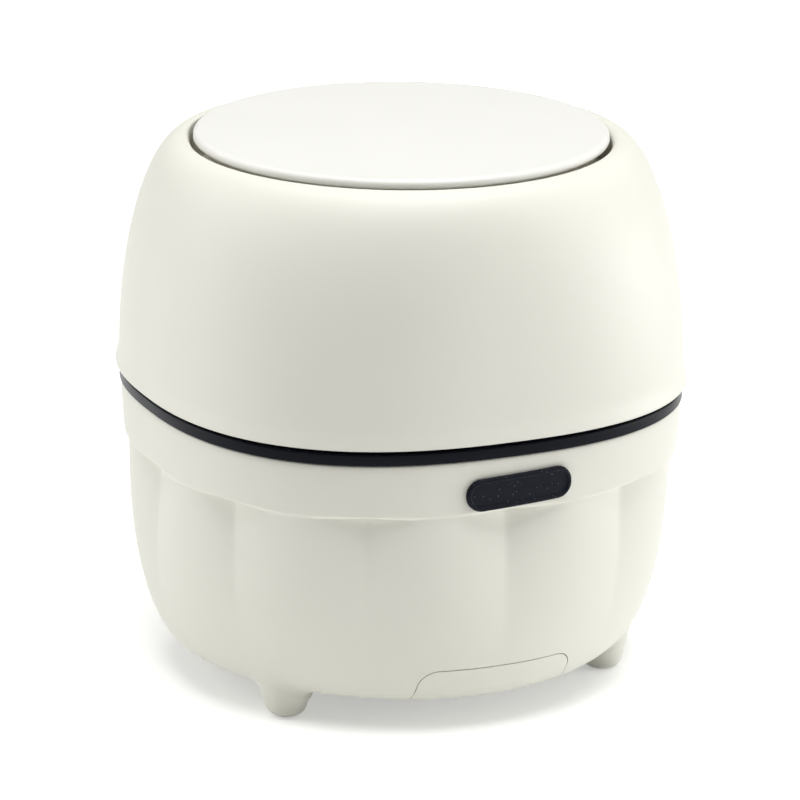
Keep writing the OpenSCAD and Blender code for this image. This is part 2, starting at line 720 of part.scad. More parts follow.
// The cover: dome, round mouth with a recess wall, and a ledge for the spigot
cover_steps = 12;
cover_inner_steps = 8;
cover_round_z = cover_z + cover_band_h;
cover_lip_a = mouth_r + mouth_round;
cover_in_a1 = cover_lip_a - 0.6;
recess_out = mouth_r + recess_wall;
ledge_z = spigot_z + rest_gap;
function cover_ring(a, z) = [a, z, cover_power(z), 0];
function cover_out_ring(t) =
    let (p = rounding(cover_mid_w / 2, cover_round_z, cover_lip_a, mouth_z, cover_fullness, t))
    cover_ring(p[0], p[1]);
function cover_in_ring(t) =
    let (p = rounding(cover_mid_w / 2 - cover_wall, cover_round_z, cover_in_a1, mouth_z - cover_wall, cover_fullness, t))
    cover_ring(p[0], p[1]);
cover_in_t = acos(pow((recess_out - cover_in_a1) / (cover_mid_w / 2 - cover_wall - cover_in_a1), cover_fullness / 2));
function cover_rings() = concat(
    [cover_ring(cover_w / 2, cover_z), cover_ring(cover_w / 2 - 0.3, cover_z + 2)],
    [for (i = [0:cover_steps]) cover_out_ring(i * 90 / cover_steps)],
    [for (t = [30:30:90]) [mouth_r + mouth_round * (1 - sin(t)), mouth_z - mouth_round * (1 - cos(t)), 2, 0]],
    [[mouth_r, recess_z, 2, 0], [recess_out, recess_z, 2, 0]],
    [for (i = [cover_inner_steps:-1:0]) cover_in_ring(i * cover_in_t / cover_inner_steps)],
    [
        cover_ring(cover_mid_w / 2 - cover_wall, ledge_z + ledge_t + ledge_w),
        cover_ring(cover_mid_w / 2 - cover_wall - ledge_w, ledge_z + ledge_t),
        cover_ring(cover_mid_w / 2 - cover_wall - ledge_w, ledge_z),
        cover_ring(spigot_out + slide_gap, ledge_z),
        cover_ring(spigot_out + slide_gap, cover_z)
    ]);

// Half width of the slot behind the mouth for the hinge
ear_out = arm_x + arm_w / 2 + ear_gap + ear_t;
slot_half = ear_out + clip_t + 0.6;
slot_h = recess_h - 5.8;

module upper_cover() {
    color(cream) difference() {
        union() {
            loop_shell(cover_rings());
            for (t = boss_turns) rotate([0, 0, t - 90]) translate([boss_circle_r, 0, recess_z])
                cylinder(r = boss_r, h = boss_h, $fn = fine);
        }
        for (t = boss_turns) rotate([0, 0, t - 90]) translate([boss_circle_r, 0, recess_z - eps])
            cylinder(r = screw_r + screw_play, h = boss_h - 0.6, $fn = fine);
        translate([-slot_half, throat_r, recess_z - eps])
            cube([2 * slot_half, recess_out + 0.2 - throat_r, slot_h + eps]);
    }
}

// A disc with a flat back, clear of the hinge: the throat's and the lid plate's shape
module throat(r, back, z0, z1) {
    translate([0, 0, z0]) intersection() {
        cylinder(r = r, h = z1 - z0, $fn = 2 * fine);
        translate([-r - 1, -r - 1, 0]) cube([2 * r + 2, r + 1 + back, z1 - z0]);
    }
}
striker_slot_x = head_x + jaw_clear + jaw_lip + jaw_t + slide_gap;
bracket_screw_x = slot_half + 4;
bracket_mid_y = hinge_y - bracket_screw_back;
bracket_screw_places = [for (sx = [-1, 1]) for (sy = [-1, 1])
    [sx * bracket_screw_x, bracket_mid_y + sy * bracket_screw_pitch / 2]];
throat_top_z = recess_z + throat_rise;
mount_boss_h = 3;

module mouth_ring() {
    color(cream) difference() {
        union() {
            translate([0, 0, plate_z]) cylinder(r = plate_r, h = plate_t, $fn = 2 * fine);
            throat(throat_r + throat_wall, throat_back_y + throat_wall, plate_z - throat_drop, throat_top_z);
            for (sx = [-1, 1]) translate([sx * latch_screw_x, -latch_y, recess_z - eps])
                cylinder(r = screw_r + 1.2, h = mount_boss_h, $fn = fine);
            for (p = bracket_screw_places) translate([p[0], p[1], recess_z - eps])
                cylinder(r = screw_r + 1.2, h = mount_boss_h, $fn = fine);
        }
        throat(throat_r, throat_back_y, plate_z - throat_drop - 1, throat_top_z + 1);
        translate([-slot_half, throat_back_y + throat_wall, plate_z - 1])
            cube([2 * slot_half, plate_r, plate_t + 2]);
        translate([-striker_slot_x, -latch_y - case_d / 2 + case_wall, plate_z - 1])
            cube([2 * striker_slot_x, case_d - 2 * case_wall, plate_t + 2]);
        for (t = boss_turns) rotate([0, 0, t - 90]) translate([boss_circle_r, 0, plate_z - 1])
            cylinder(r = screw_r + 0.2, h = plate_t + 2, $fn = fine);
        for (sx = [-1, 1]) translate([sx * latch_screw_x, -latch_y, plate_z - eps])
            cylinder(r = screw_r + screw_play, h = plate_t + mount_boss_h - 0.8, $fn = fine);
        for (p = bracket_screw_places) translate([p[0], p[1], plate_z - eps])
            cylinder(r = screw_r + screw_play, h = plate_t + mount_boss_h - 0.8, $fn = fine);
        for (t = bumper_turns) rotate([0, 0, t - 90]) translate([throat_r + throat_wall / 2, 0, throat_top_z - 2])
            cylinder(r = bumper_peg_r + screw_play, h = 3, $fn = fine);
    }
}

module mouth_screws() {
    color(steel) for (t = boss_turns) rotate([0, 0, t - 90])
        translate([boss_circle_r, 0, plate_z]) mirror([0, 0, 1]) screw(plate_t + boss_h - 1.2);
}

// Rubber buttons that the lid lands on when it is pressed too far
bumper_turns = [45, 315, 120, 240];
bumper_peg_r = 0.5;
module lid_bumpers() {
    color(rubber) for (t = bumper_turns) rotate([0, 0, t - 90])
        translate([throat_r + throat_wall / 2, 0, throat_top_z]) {
            cylinder(r = bumper_r, h = bumper_h, $fn = fine);
            translate([0, 0, -1.9]) cylinder(r = bumper_peg_r, h = 1.9 + eps, $fn = fine);
        }
}

// Hinge bracket: a floor, two ears for the pin and two flanges under the plate
bracket_front_y = throat_back_y + throat_wall + slide_gap;
bracket_floor_z = hinge_z - bracket_drop;
module hinge_bracket() {
    depth = hinge_y + eye_r - bracket_front_y;
    flange_z = plate_z - rest_gap - bracket_t;
    color(ivory) difference() {
        union() {
            translate([-ear_out, bracket_front_y, bracket_floor_z - bracket_t])
                cube([2 * ear_out, depth - eye_r, bracket_t]);
            translate([-ear_out, hinge_y - spring_r + spring_wire / 2 + 0.1, bracket_floor_z - eps])
                cube([2 * ear_out, spring_r - spring_wire / 2 - 0.1, bracket_lip]);
            for (s = [-1, 1]) {
                translate([s > 0 ? ear_out - ear_t : -ear_out, bracket_front_y, bracket_floor_z - eps])
                    cube([ear_t, depth - eye_r, hinge_z - bracket_floor_z]);
                translate([s > 0 ? ear_out - ear_t : -ear_out, hinge_y, hinge_z])
                    rotate([0, 90, 0]) cylinder(r = eye_r, h = ear_t, $fn = fine);
                translate([s > 0 ? ear_out - eps : -ear_out - bracket_flange, bracket_front_y, flange_z])
                    cube([bracket_flange + eps, hinge_y - 1 - bracket_front_y, bracket_t]);
            }
        }
        translate([-ear_out - 1, hinge_y, hinge_z]) rotate([0, 90, 0])
            cylinder(r = pin_r + 0.02, h = 2 * ear_out + 2, $fn = fine);
        translate([-ear_out - 1, bracket_front_y - 1, plate_z + plate_t / 2])
            cube([2 * ear_out + 2, hinge_y - eye_r - bracket_front_y + 1, hinge_z]);
        for (p = bracket_screw_places) translate([p[0], p[1], flange_z - 1])
            cylinder(r = screw_r + 0.2, h = bracket_t + 2, $fn = fine);
    }
}

module bracket_screws() {
    color(steel) for (p = bracket_screw_places)
        translate([p[0], p[1], plate_z - rest_gap - bracket_t]) mirror([0, 0, 1])
            screw(bracket_t + rest_gap + plate_t + mount_boss_h - 1.2);
}

module hinge_pin() {
    color(steel) translate([-ear_out - clip_t, hinge_y, hinge_z]) rotate([0, 90, 0])
        cylinder(r = pin_r, h = 2 * (ear_out + clip_t), $fn = fine);
}

module pin_clips() {
    color(steel) for (s = [-1, 1])
        translate([s > 0 ? ear_out + 0.05 : -ear_out - 0.05 - clip_t + 0.1, hinge_y, hinge_z]) rotate([0, 90, 0])
            difference() {
                cylinder(r = clip_r, h = clip_t - 0.1, $fn = fine);
                translate([0, 0, -1]) cylinder(r = pin_r + 0.02, h = 3, $fn = fine);
            }
}

// A round wire along points in space, with square ends, as one closed tube
function unit(v) = v / norm(v);
function tangent(path, i) =
    unit(path[min(i + 1, len(path) - 1)] - path[max(i - 1, 0)]);
function wire_points(path, r, up, sides) = [for (i = [0:len(path) - 1])
    let (t = tangent(path, i), u = unit(cross(up, t)), v = cross(t, u))
    for (k = [0:sides - 1]) path[i] + r * (cos(k * 360 / sides) * u + sin(k * 360 / sides) * v)];
module wire(path, r, up, sides = 6) {
    count = len(path);
    polyhedron(
        points = wire_points(path, r, up, sides),
        faces = concat(
            [for (i = [0:count - 2]) for (k = [0:sides - 1]) let (m = (k + 1) % sides)
                each [[i * sides + k, i * sides + m, (i + 1) * sides + m],
                    [i * sides + k, (i + 1) * sides + m, (i + 1) * sides + k]]],
            [[for (k = [sides - 1:-1:0]) k]],
            [[for (k = [0:sides - 1]) (count - 1) * sides + k]]));
}

// An arm's centre line from the hinge axis, under the mouth's rim, up to the plate
arm_path = [
    [0, 0],
    [-7.4, -5.2],
    [-(arm_reach - 2), -7],
    [-arm_reach, 0],
    [-(arm_reach - 1.2), 6.5],
    [-(arm_reach - 3.7), lid_plate_z + lid_plate_t / 2 - hinge_z]
];

// Torsion spring: coil on the pin, one leg down to the bracket's lip, and one leg
// along the arm's underside that turns in under it
coil_rings = 8;
spring_x0 = arm_x - arm_w / 2 - 1.3 - (spring_turns + 0.65) * spring_pitch;
arm_deg = atan2(-arm_path[1][1], -arm_path[1][0]);
coil_start = 180;
coil_end = arm_deg + 270 - 360 * (spring_turns + 1);
spring_count = ceil((coil_start - coil_end) * coil_rings / 360);
function coil_point(s) =
    let (t = coil_start + (coil_end - coil_start) * s)
    [spring_x0 + (coil_start - coil_end) / 360 * spring_pitch * s, hinge_y + spring_r * cos(t), hinge_z + spring_r * sin(t)];
function spring_path() =
    let (coil = [for (i = [0:spring_count]) coil_point(i / spring_count)],
        first = coil[0],
        last = coil[spring_count],
        along = [0, -cos(arm_deg), -sin(arm_deg)])
    concat(
        [first - [0, 0, bracket_drop - 0.4], first - [0, 0, 4]],
        coil,
        [last + along * 3.4, last + along * 6, last + along * 6.8 + [0.8, 0, 0], last + along * 6.8 + [3.4, 0, 0]]);
module spring_right() {
    color(steel) wire(spring_path(), spring_wire / 2, [1, 0.01 * cos(arm_deg), 0.01 * sin(arm_deg)]);
}
module spring_left() {
    mirror([1, 0, 0]) spring_right();
}

// Latch under the front of the mouth ring
case_top_z = plate_z - rest_gap;
case_z = case_top_z - case_h;
head_z = plate_z - head_drop;
jaw_in = head_x + jaw_clear + jaw_lip;
jaw_block_z = head_z - head_h - jaw_gap - jaw_block_h;
module latch_case() {
    color(ivory) translate([0, -latch_y, case_z]) difference() {
        union() {
            translate([-case_w / 2, -case_d / 2, 0]) cube([case_w, case_d, case_h]);
            translate([-latch_screw_x - 2.6, -case_d / 2 + 1.6, case_h - bracket_t])
                cube([2 * latch_screw_x + 5.2, case_d - 3.2, bracket_t]);
        }
        translate([-case_w / 2 + case_wall, -case_d / 2 + case_wall, case_wall])
            cube([case_w - 2 * case_wall, case_d - 2 * case_wall, case_h]);
        for (s = [-1, 1]) translate([s * latch_screw_x, 0, case_h - bracket_t - 1])
            cylinder(r = screw_r + 0.2, h = bracket_t + 2, $fn = fine);
    }
}

module latch_jaw() {
    depth = case_d - 2 * case_wall - 2 * slide_gap;
    arm_top = plate_z + 0.6;
    half = case_w / 2 - case_wall - slide_gap;
    color(acetal) translate([0, -latch_y, 0]) union() {
        translate([-half, -depth / 2, jaw_block_z]) cube([2 * half, depth, jaw_block_h]);
        for (s = [-1, 1]) {
            translate([s > 0 ? jaw_in : -jaw_in - jaw_t, -depth / 2 + 1, jaw_block_z + jaw_block_h - eps])
                cube([jaw_t, depth - 2, arm_top - jaw_block_z - jaw_block_h]);
            translate([s > 0 ? jaw_in - jaw_lip : -jaw_in - eps, -depth / 2 + 1, head_z + 0.2])
                cube([jaw_lip + eps, depth - 2, arm_top - head_z - 0.2 - eps]);
        }
    }
}

latch_rings = 8;
module latch_spring() {
    low = case_z + case_wall + latch_wire / 2 + 0.05;
    high = jaw_block_z - latch_wire / 2 - 0.05;
    count = latch_turns * latch_rings;
    path = [for (i = [0:count])
        [latch_spring_r * cos(i * 360 / latch_rings), -latch_y + latch_spring_r * sin(i * 360 / latch_rings),
            low + (high - low) * i / count]];
    color(steel) wire(path, latch_wire / 2, [0, 0, 1]);
}

module latch_screws() {
    color(steel) for (s = [-1, 1]) translate([s * latch_screw_x, -latch_y, case_top_z - bracket_t])
        mirror([0, 0, 1]) screw(bracket_t + rest_gap + plate_t + mount_boss_h - 1.2);
}

// The lid: a crowned disc over a plate that carries the arms and the striker
lid_screw_places = [for (sx = [-1, 1]) for (sy = [-1, 1]) [sx * lid_screw_xy, sy * lid_screw_xy]];
module lid_disc() {
    crown = [for (i = [0:10]) let (x = (lid_r - lid_round) * i / 10)
        [x, lid_edge_z + lid_crown * (1 - pow(x / (lid_r - lid_round), 2))]];
    edge = [for (t = [15:15:90]) [lid_r - lid_round * (1 - sin(t)), lid_edge_z - lid_round * (1 - cos(t))]];
    color(cream) difference() {
        union() {
            rotate_extrude($fn = 2 * fine) polygon(concat(
                [[0, lid_under_z]],
                crown,
                edge,
                [[lid_r, lid_z + lid_undercut], [lid_r - lid_undercut, lid_z],
                    [lid_r - lid_undercut - lid_wall, lid_z],
                    [lid_r - lid_undercut - lid_wall, lid_under_z]]));
            for (p = lid_screw_places) translate([p[0], p[1], lid_plate_z])
                cylinder(r = lid_boss_r, h = lid_under_z - lid_plate_z + eps, $fn = fine);
        }
        for (p = lid_screw_places) translate([p[0], p[1], lid_plate_z - eps])
            cylinder(r = screw_r + screw_play, h = lid_under_z - lid_plate_z + 1, $fn = fine);
    }
}

arm_last = len(arm_path) - 1;
function arm_dir(i) = unit(arm_path[i + 1] - arm_path[i]);
function arm_left(i) = [-arm_dir(i)[1], arm_dir(i)[0]];
function arm_mitre(i) =
    i == 0 ? arm_left(0)
    : i == arm_last ? arm_left(arm_last - 1)
    : (arm_left(i - 1) + arm_left(i)) / (1 + arm_dir(i - 1) * arm_dir(i));
module arm() {
    translate([-arm_w / 2, hinge_y, hinge_z]) rotate([90, 0, 90]) linear_extrude(height = arm_w) union() {
        circle(r = eye_r, $fn = fine);
        polygon(concat(
            [for (i = [0:arm_last]) arm_path[i] + arm_t / 2 * arm_mitre(i)],
            [for (i = [arm_last:-1:0]) arm_path[i] - arm_t / 2 * arm_mitre(i)]));
    }
}

lid_plate_r = lid_r - lid_undercut - lid_wall - slide_gap / 2;
module lid_plate() {
    color(ivory) difference() {
        union() {
            throat(lid_plate_r, lid_plate_back, lid_plate_z, lid_plate_z + lid_plate_t);
            for (s = [-1, 1]) translate([s * arm_x, 0, 0]) arm();
        }
        translate([-ear_out, hinge_y, hinge_z]) rotate([0, 90, 0])
            cylinder(r = pin_r + pin_fit, h = 2 * ear_out, $fn = fine);
        for (p = lid_screw_places) translate([p[0], p[1], lid_plate_z - 1])
            cylinder(r = lid_boss_r + 0.2, h = lid_plate_t + 2, $fn = fine);
        for (s = [-1, 1]) translate([s * striker_peg_x, -latch_y + striker_peg_y, lid_plate_z - eps])
            cylinder(r = striker_peg_r + screw_play, h = lid_plate_t - 0.5, $fn = fine);
    }
}

lid_washer_r = lid_boss_r + 1.2;
module lid_screws() {
    color(steel) for (p = lid_screw_places) translate([p[0], p[1], lid_plate_z - rest_gap])
        mirror([0, 0, 1]) {
            cylinder(r = lid_washer_r, h = 0.6, $fn = fine);
            translate([0, 0, 0.6 - eps]) screw(0);
            translate([0, 0, -(lid_under_z - lid_plate_z)]) cylinder(r = screw_r, h = lid_under_z - lid_plate_z + eps, $fn = fine);
        }
}

// The striker hangs from the plate and its head sits in the latch's jaw
striker_peg_x = 4.5;
striker_peg_y = 1.5;
striker_peg_r = 1.2;
striker_flange_t = 1.5;
module latch_striker() {
    color(acetal) translate([0, -latch_y, 0]) union() {
        translate([-striker_peg_x - 2, -striker_d / 2 + 1, lid_plate_z - rest_gap - striker_flange_t])
            cube([2 * striker_peg_x + 4, striker_d - 0.8, striker_flange_t]);
        translate([-stem_x, -striker_d / 2, head_z - eps])
            cube([2 * stem_x, striker_d, lid_plate_z - rest_gap - striker_flange_t - head_z + 2 * eps]);
        translate([-head_x, -striker_d / 2, head_z - head_h]) cube([2 * head_x, striker_d, head_h]);
        for (s = [-1, 1]) translate([s * striker_peg_x, striker_peg_y, lid_plate_z - rest_gap - eps])
            cylinder(r = striker_peg_r, h = lid_plate_t - 0.6, $fn = fine);
    }
}

body_shell();
badge();
drawer_housing();
housing_screws();
foot_pads();
drawer_front();
drawer_tray();
drawer_screws();
inner_bucket();
bag_ring();
upper_cover();
mouth_ring();
mouth_screws();
lid_bumpers();
hinge_bracket();
bracket_screws();
hinge_pin();
pin_clips();
spring_left();
spring_right();
latch_case();
latch_jaw();
latch_spring();
latch_screws();
lid_disc();
lid_plate();
lid_screws();
latch_striker();
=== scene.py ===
# %% [markdown]
# # A push-top countertop bin
# The bin is a cream bowl on stub feet, a dark ring, a domed cover and a round lid.
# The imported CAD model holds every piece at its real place, so it is loaded first and
# never moved. This lesson gives the visible shells a finer surface than the CAD mesh
# has, details the small parts, and gives every surface its finish.

import json
import math

import bmesh
import bpy
import numpy as np
from mathutils import Matrix, Vector


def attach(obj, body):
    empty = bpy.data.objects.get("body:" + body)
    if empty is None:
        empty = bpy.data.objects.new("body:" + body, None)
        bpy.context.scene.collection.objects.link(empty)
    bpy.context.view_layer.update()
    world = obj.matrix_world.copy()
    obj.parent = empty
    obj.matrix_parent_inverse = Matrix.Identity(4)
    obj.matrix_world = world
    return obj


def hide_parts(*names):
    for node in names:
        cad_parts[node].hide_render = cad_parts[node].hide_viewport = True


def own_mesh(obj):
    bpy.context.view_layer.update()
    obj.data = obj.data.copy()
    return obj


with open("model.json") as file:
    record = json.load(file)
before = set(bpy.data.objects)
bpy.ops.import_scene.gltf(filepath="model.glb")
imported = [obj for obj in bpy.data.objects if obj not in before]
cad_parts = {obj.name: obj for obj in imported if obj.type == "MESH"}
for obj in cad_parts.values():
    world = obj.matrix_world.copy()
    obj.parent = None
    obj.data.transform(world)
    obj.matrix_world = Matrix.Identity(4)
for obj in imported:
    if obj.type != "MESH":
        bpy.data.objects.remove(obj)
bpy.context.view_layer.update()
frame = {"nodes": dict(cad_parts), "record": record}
nodes = frame["nodes"]
for piece in nodes.values():
    piece.data.materials.clear()
for packed in list(bpy.data.materials):
    bpy.data.materials.remove(packed)

# %% [markdown]
# ## The photograph's camera
# The bin was photographed a little from its left and from above. The camera was
# fitted to the outline of the cover and the body: the numbers are its turn about
# the bin, its height above the horizon, its roll, its distance and its lens.

# %% Place the camera
MM = 0.001
turn, rise, roll = (math.radians(a) for a in (-23.986, 17.459, 0.531))
distance = 1419.06 * MM
lens = 4325.16 / 800 * 36
aim_right, aim_up = 0.36 * MM, 87.23 * MM

back = Vector((math.sin(turn) * math.cos(rise), -math.cos(turn) * math.cos(rise), math.sin(rise)))
right = Vector((math.cos(turn), math.sin(turn), 0))
up = back.cross(right)
camera_x = math.cos(roll) * right + math.sin(roll) * up
camera_y = -math.sin(roll) * right + math.cos(roll) * up
spot = right * aim_right + Vector((0, 0, aim_up)) + back * distance

camera_data = bpy.data.cameras.new("camera")
camera_data.sensor_width = 36
camera_data.lens = lens
camera_data.clip_start, camera_data.clip_end = 0.05, 50
camera = bpy.data.objects.new("camera", camera_data)
camera.matrix_world = Matrix((
    (camera_x.x, camera_y.x, back.x, spot.x),
    (camera_x.y, camera_y.y, back.y, spot.y),
    (camera_x.z, camera_y.z, back.z, spot.z),
    (0, 0, 0, 1)))
bpy.context.scene.collection.objects.link(camera)
bpy.context.scene.camera = camera
print("lens, mm:", round(lens, 1), "distance, m:", distance)

# %% [markdown]
# ## A white table and soft lamps
# The photograph has a white ground and light that wraps round from both sides and
# from above, so the middle of the front is the darkest part of the bin. One large
# lamp stands at the left and behind it, two at the right, one hangs over it, and the
# pale table throws light back up under the bowl. To the camera and in reflections
# the table also glows a little, more so far from the bin, so its lit part is white
# and the bin's shadow stays.

# %% Lay the table
scene = bpy.context.scene
scene.view_settings.view_transform = "Standard"

table_mesh = bpy.data.meshes.new("table")
span = 6.0
table_corners = [(-span, -span, 0), (span, -span, 0), (span, span, 0), (-span, span, 0)]
table_mesh.from_pydata(table_corners, [], [(0, 1, 2, 3)])
table = bpy.data.objects.new("table", table_mesh)
scene.collection.objects.link(table)

table_paint = bpy.data.materials.new("table_white")
table_paint.use_nodes = True
tree = table_paint.node_tree
tree.nodes.clear()
out = tree.nodes.new("ShaderNodeOutputMaterial")
paint = tree.nodes.new("ShaderNodeBsdfDiffuse")
paint.inputs["Color"].default_value = (0.96, 0.96, 0.95, 1)
glow = tree.nodes.new("ShaderNodeEmission")
glow.inputs["Color"].default_value = (1, 1, 1, 1)
rays = tree.nodes.new("ShaderNodeLightPath")
sight = None
for label in ("Is Camera Ray", "Is Glossy Ray", "Is Transmission Ray"):
    if sight is None:
        sight = rays.outputs[label]
        continue
    either = tree.nodes.new("ShaderNodeMath")
    either.operation = "MAXIMUM"
    tree.links.new(sight, either.inputs[0])
    tree.links.new(rays.outputs[label], either.inputs[1])
    sight = either.outputs[0]
ground_at = tree.nodes.new("ShaderNodeTexCoord")
away = tree.nodes.new("ShaderNodeVectorMath")
away.operation = "LENGTH"
tree.links.new(ground_at.outputs["Object"], away.inputs[0])
fade = tree.nodes.new("ShaderNodeMapRange")
for label, value in (("From Min", 0.2), ("From Max", 0.9), ("To Min", 0.35), ("To Max", 0.95)):
    fade.inputs[label].default_value = value
tree.links.new(away.outputs["Value"], fade.inputs["Value"])
lift = tree.nodes.new("ShaderNodeMath")
lift.operation = "MULTIPLY"
tree.links.new(sight, lift.inputs[0])
tree.links.new(fade.outputs[0], lift.inputs[1])
tree.links.new(lift.outputs[0], glow.inputs["Strength"])
both = tree.nodes.new("ShaderNodeAddShader")
tree.links.new(paint.outputs[0], both.inputs[0])
tree.links.new(glow.outputs[0], both.inputs[1])
tree.links.new(both.outputs[0], out.inputs["Surface"])
table_mesh.materials.append(table_paint)

# %% Light the world and hang the lamps
world = bpy.data.worlds.new("studio")
world.use_nodes = True
scene.world = world
sky = world.node_tree
sky.nodes.clear()
world_out = sky.nodes.new("ShaderNodeOutputWorld")
pick = sky.nodes.new("ShaderNodeMixShader")
room = sky.nodes.new("ShaderNodeBackground")
white = sky.nodes.new("ShaderNodeBackground")
path = sky.nodes.new("ShaderNodeLightPath")
seen = sky.nodes.new("ShaderNodeMath")
seen.operation = "MAXIMUM"
room.inputs["Color"].default_value = (1.0, 0.99, 0.97, 1)
room.inputs["Strength"].default_value = 0.06
white.inputs["Color"].default_value = (1, 1, 1, 1)
sky.links.new(path.outputs["Is Camera Ray"], seen.inputs[0])
sky.links.new(path.outputs["Is Transmission Ray"], seen.inputs[1])
sky.links.new(seen.outputs[0], pick.inputs["Fac"])
sky.links.new(room.outputs[0], pick.inputs[1])
sky.links.new(white.outputs[0], pick.inputs[2])
sky.links.new(pick.outputs[0], world_out.inputs["Surface"])


def lamp(name, place, size, power, aim=(0, 0, 0.09)):
    """A soft square lamp that looks at a point of the bin."""
    data = bpy.data.lights.new(name, "AREA")
    data.shape = "RECTANGLE"
    data.size, data.size_y = size
    data.energy = power
    piece = bpy.data.objects.new(name, data)
    piece.location = place
    piece.rotation_euler = (Vector(aim) - Vector(place)).to_track_quat("-Z", "Y").to_euler()
    scene.collection.objects.link(piece)
    return piece


lamp("lamp_left", (-1.05, 0.55, 0.50), (0.9, 1.1), 6.5)
lamp("lamp_right", (0.95, -0.65, 0.50), (0.9, 1.1), 3.5)
lamp("lamp_low_right", (1.20, -0.30, 0.14), (0.8, 0.25), 4.2)
lamp("lamp_top", (0.0, -0.18, 1.25), (1.1, 1.1), 17.5)

# %% [markdown]
# ## Finishes
# The bin is injection-moulded. Such plastic has a fine, even spark-eroded grain, a
# very slight change of tone where the melt met, and faint handling marks that make
# it shinier here and there. One node group makes all three, and every plastic uses
# it with its own numbers.

# %% Grain of moulded plastic
def new_group(name, inputs, outputs):
    """A shader node group with named sockets, and its own in and out nodes."""
    group = bpy.data.node_groups.new(name, "ShaderNodeTree")
    for label, kind, value in inputs:
        socket = group.interface.new_socket(label, in_out="INPUT", socket_type=kind)
        socket.default_value = value
    for label, kind in outputs:
        group.interface.new_socket(label, in_out="OUTPUT", socket_type=kind)
    return group, group.nodes.new("NodeGroupInput"), group.nodes.new("NodeGroupOutput")


def link(tree, start, end):
    tree.links.new(start, end)


def maths(tree, operation, a, b=None, clamp=False):
    """A Math node whose inputs are numbers or other nodes' outputs."""
    node = tree.nodes.new("ShaderNodeMath")
    node.operation = operation
    node.use_clamp = clamp
    for socket, value in zip(node.inputs, (a, b)):
        if value is None:
            continue
        if isinstance(value, (int, float)):
            socket.default_value = value
        else:
            tree.links.new(value, socket)
    return node.outputs[0]


grain, grain_in, grain_out = new_group(
    "moulded_grain",
    [("Color", "NodeSocketColor", (0.8, 0.8, 0.8, 1)), ("Tone Shift", "NodeSocketFloat", 0.03),
     ("Roughness", "NodeSocketFloat", 0.5), ("Rub Marks", "NodeSocketFloat", 0.06),
     ("Grain Size", "NodeSocketFloat", 0.4), ("Grain Depth", "NodeSocketFloat", 1.0)],
    [("Color", "NodeSocketColor"), ("Roughness", "NodeSocketFloat"), ("Height", "NodeSocketFloat")])
where = grain.nodes.new("ShaderNodeTexCoord").outputs["Object"]
per_metre = maths(grain, "DIVIDE", 1000, grain_in.outputs["Grain Size"])

clouds = grain.nodes.new("ShaderNodeTexNoise")
clouds.inputs["Scale"].default_value = 22
clouds.inputs["Detail"].default_value = 3
link(grain, where, clouds.inputs["Vector"])
cloudy = maths(grain, "SUBTRACT", clouds.outputs["Fac"], 0.5)
swing = maths(grain, "MULTIPLY", cloudy, grain_in.outputs["Tone Shift"])
tone = grain.nodes.new("ShaderNodeHueSaturation")
link(grain, grain_in.outputs["Color"], tone.inputs["Color"])
link(grain, maths(grain, "ADD", 1.0, swing), tone.inputs["Value"])
link(grain, tone.outputs[0], grain_out.inputs["Color"])

rubs = grain.nodes.new("ShaderNodeTexNoise")
rubs.inputs["Scale"].default_value = 60
rubs.inputs["Detail"].default_value = 5
rubs.inputs["Distortion"].default_value = 0.6
link(grain, where, rubs.inputs["Vector"])
uneven = maths(grain, "SUBTRACT", rubs.outputs["Fac"], 0.5)
rubbed = maths(grain, "MULTIPLY", uneven, grain_in.outputs["Rub Marks"])
matt = maths(grain, "ADD", grain_in.outputs["Roughness"], rubbed, clamp=True)
link(grain, matt, grain_out.inputs["Roughness"])

pits = grain.nodes.new("ShaderNodeTexVoronoi")
pits.feature = "SMOOTH_F1"
link(grain, where, pits.inputs["Vector"])
link(grain, per_metre, pits.inputs["Scale"])
sand = grain.nodes.new("ShaderNodeTexNoise")
sand.inputs["Detail"].default_value = 2
link(grain, where, sand.inputs["Vector"])
link(grain, maths(grain, "MULTIPLY", per_metre, 0.45), sand.inputs["Scale"])
bumps = maths(grain, "ADD", maths(grain, "MULTIPLY", pits.outputs["Distance"], 0.6), sand.outputs["Fac"])
link(grain, maths(grain, "MULTIPLY", bumps, grain_in.outputs["Grain Depth"]), grain_out.inputs["Height"])


def plastic(name, color, roughness, grain_mm=0.4, depth_mm=0.012, tone=0.04, rub=0.08, specular=0.5):
    """A moulded plastic: its colour, gloss, and the size and depth of its grain."""
    material = bpy.data.materials.new(name)
    material.use_nodes = True
    tree = material.node_tree
    surface = tree.nodes["Principled BSDF"]
    detail = tree.nodes.new("ShaderNodeGroup")
    detail.node_tree = grain
    for label, value in (("Color", (*color, 1)), ("Tone Shift", tone), ("Roughness", roughness),
                         ("Rub Marks", rub), ("Grain Size", grain_mm), ("Grain Depth", 1.0)):
        detail.inputs[label].default_value = value
    bump = tree.nodes.new("ShaderNodeBump")
    bump.inputs["Strength"].default_value = 0.35
    bump.inputs["Distance"].default_value = depth_mm * MM
    link(tree, detail.outputs["Color"], surface.inputs["Base Color"])
    link(tree, detail.outputs["Roughness"], surface.inputs["Roughness"])
    link(tree, detail.outputs["Height"], bump.inputs["Height"])
    link(tree, bump.outputs["Normal"], surface.inputs["Normal"])
    surface.inputs["Specular IOR Level"].default_value = specular
    return material


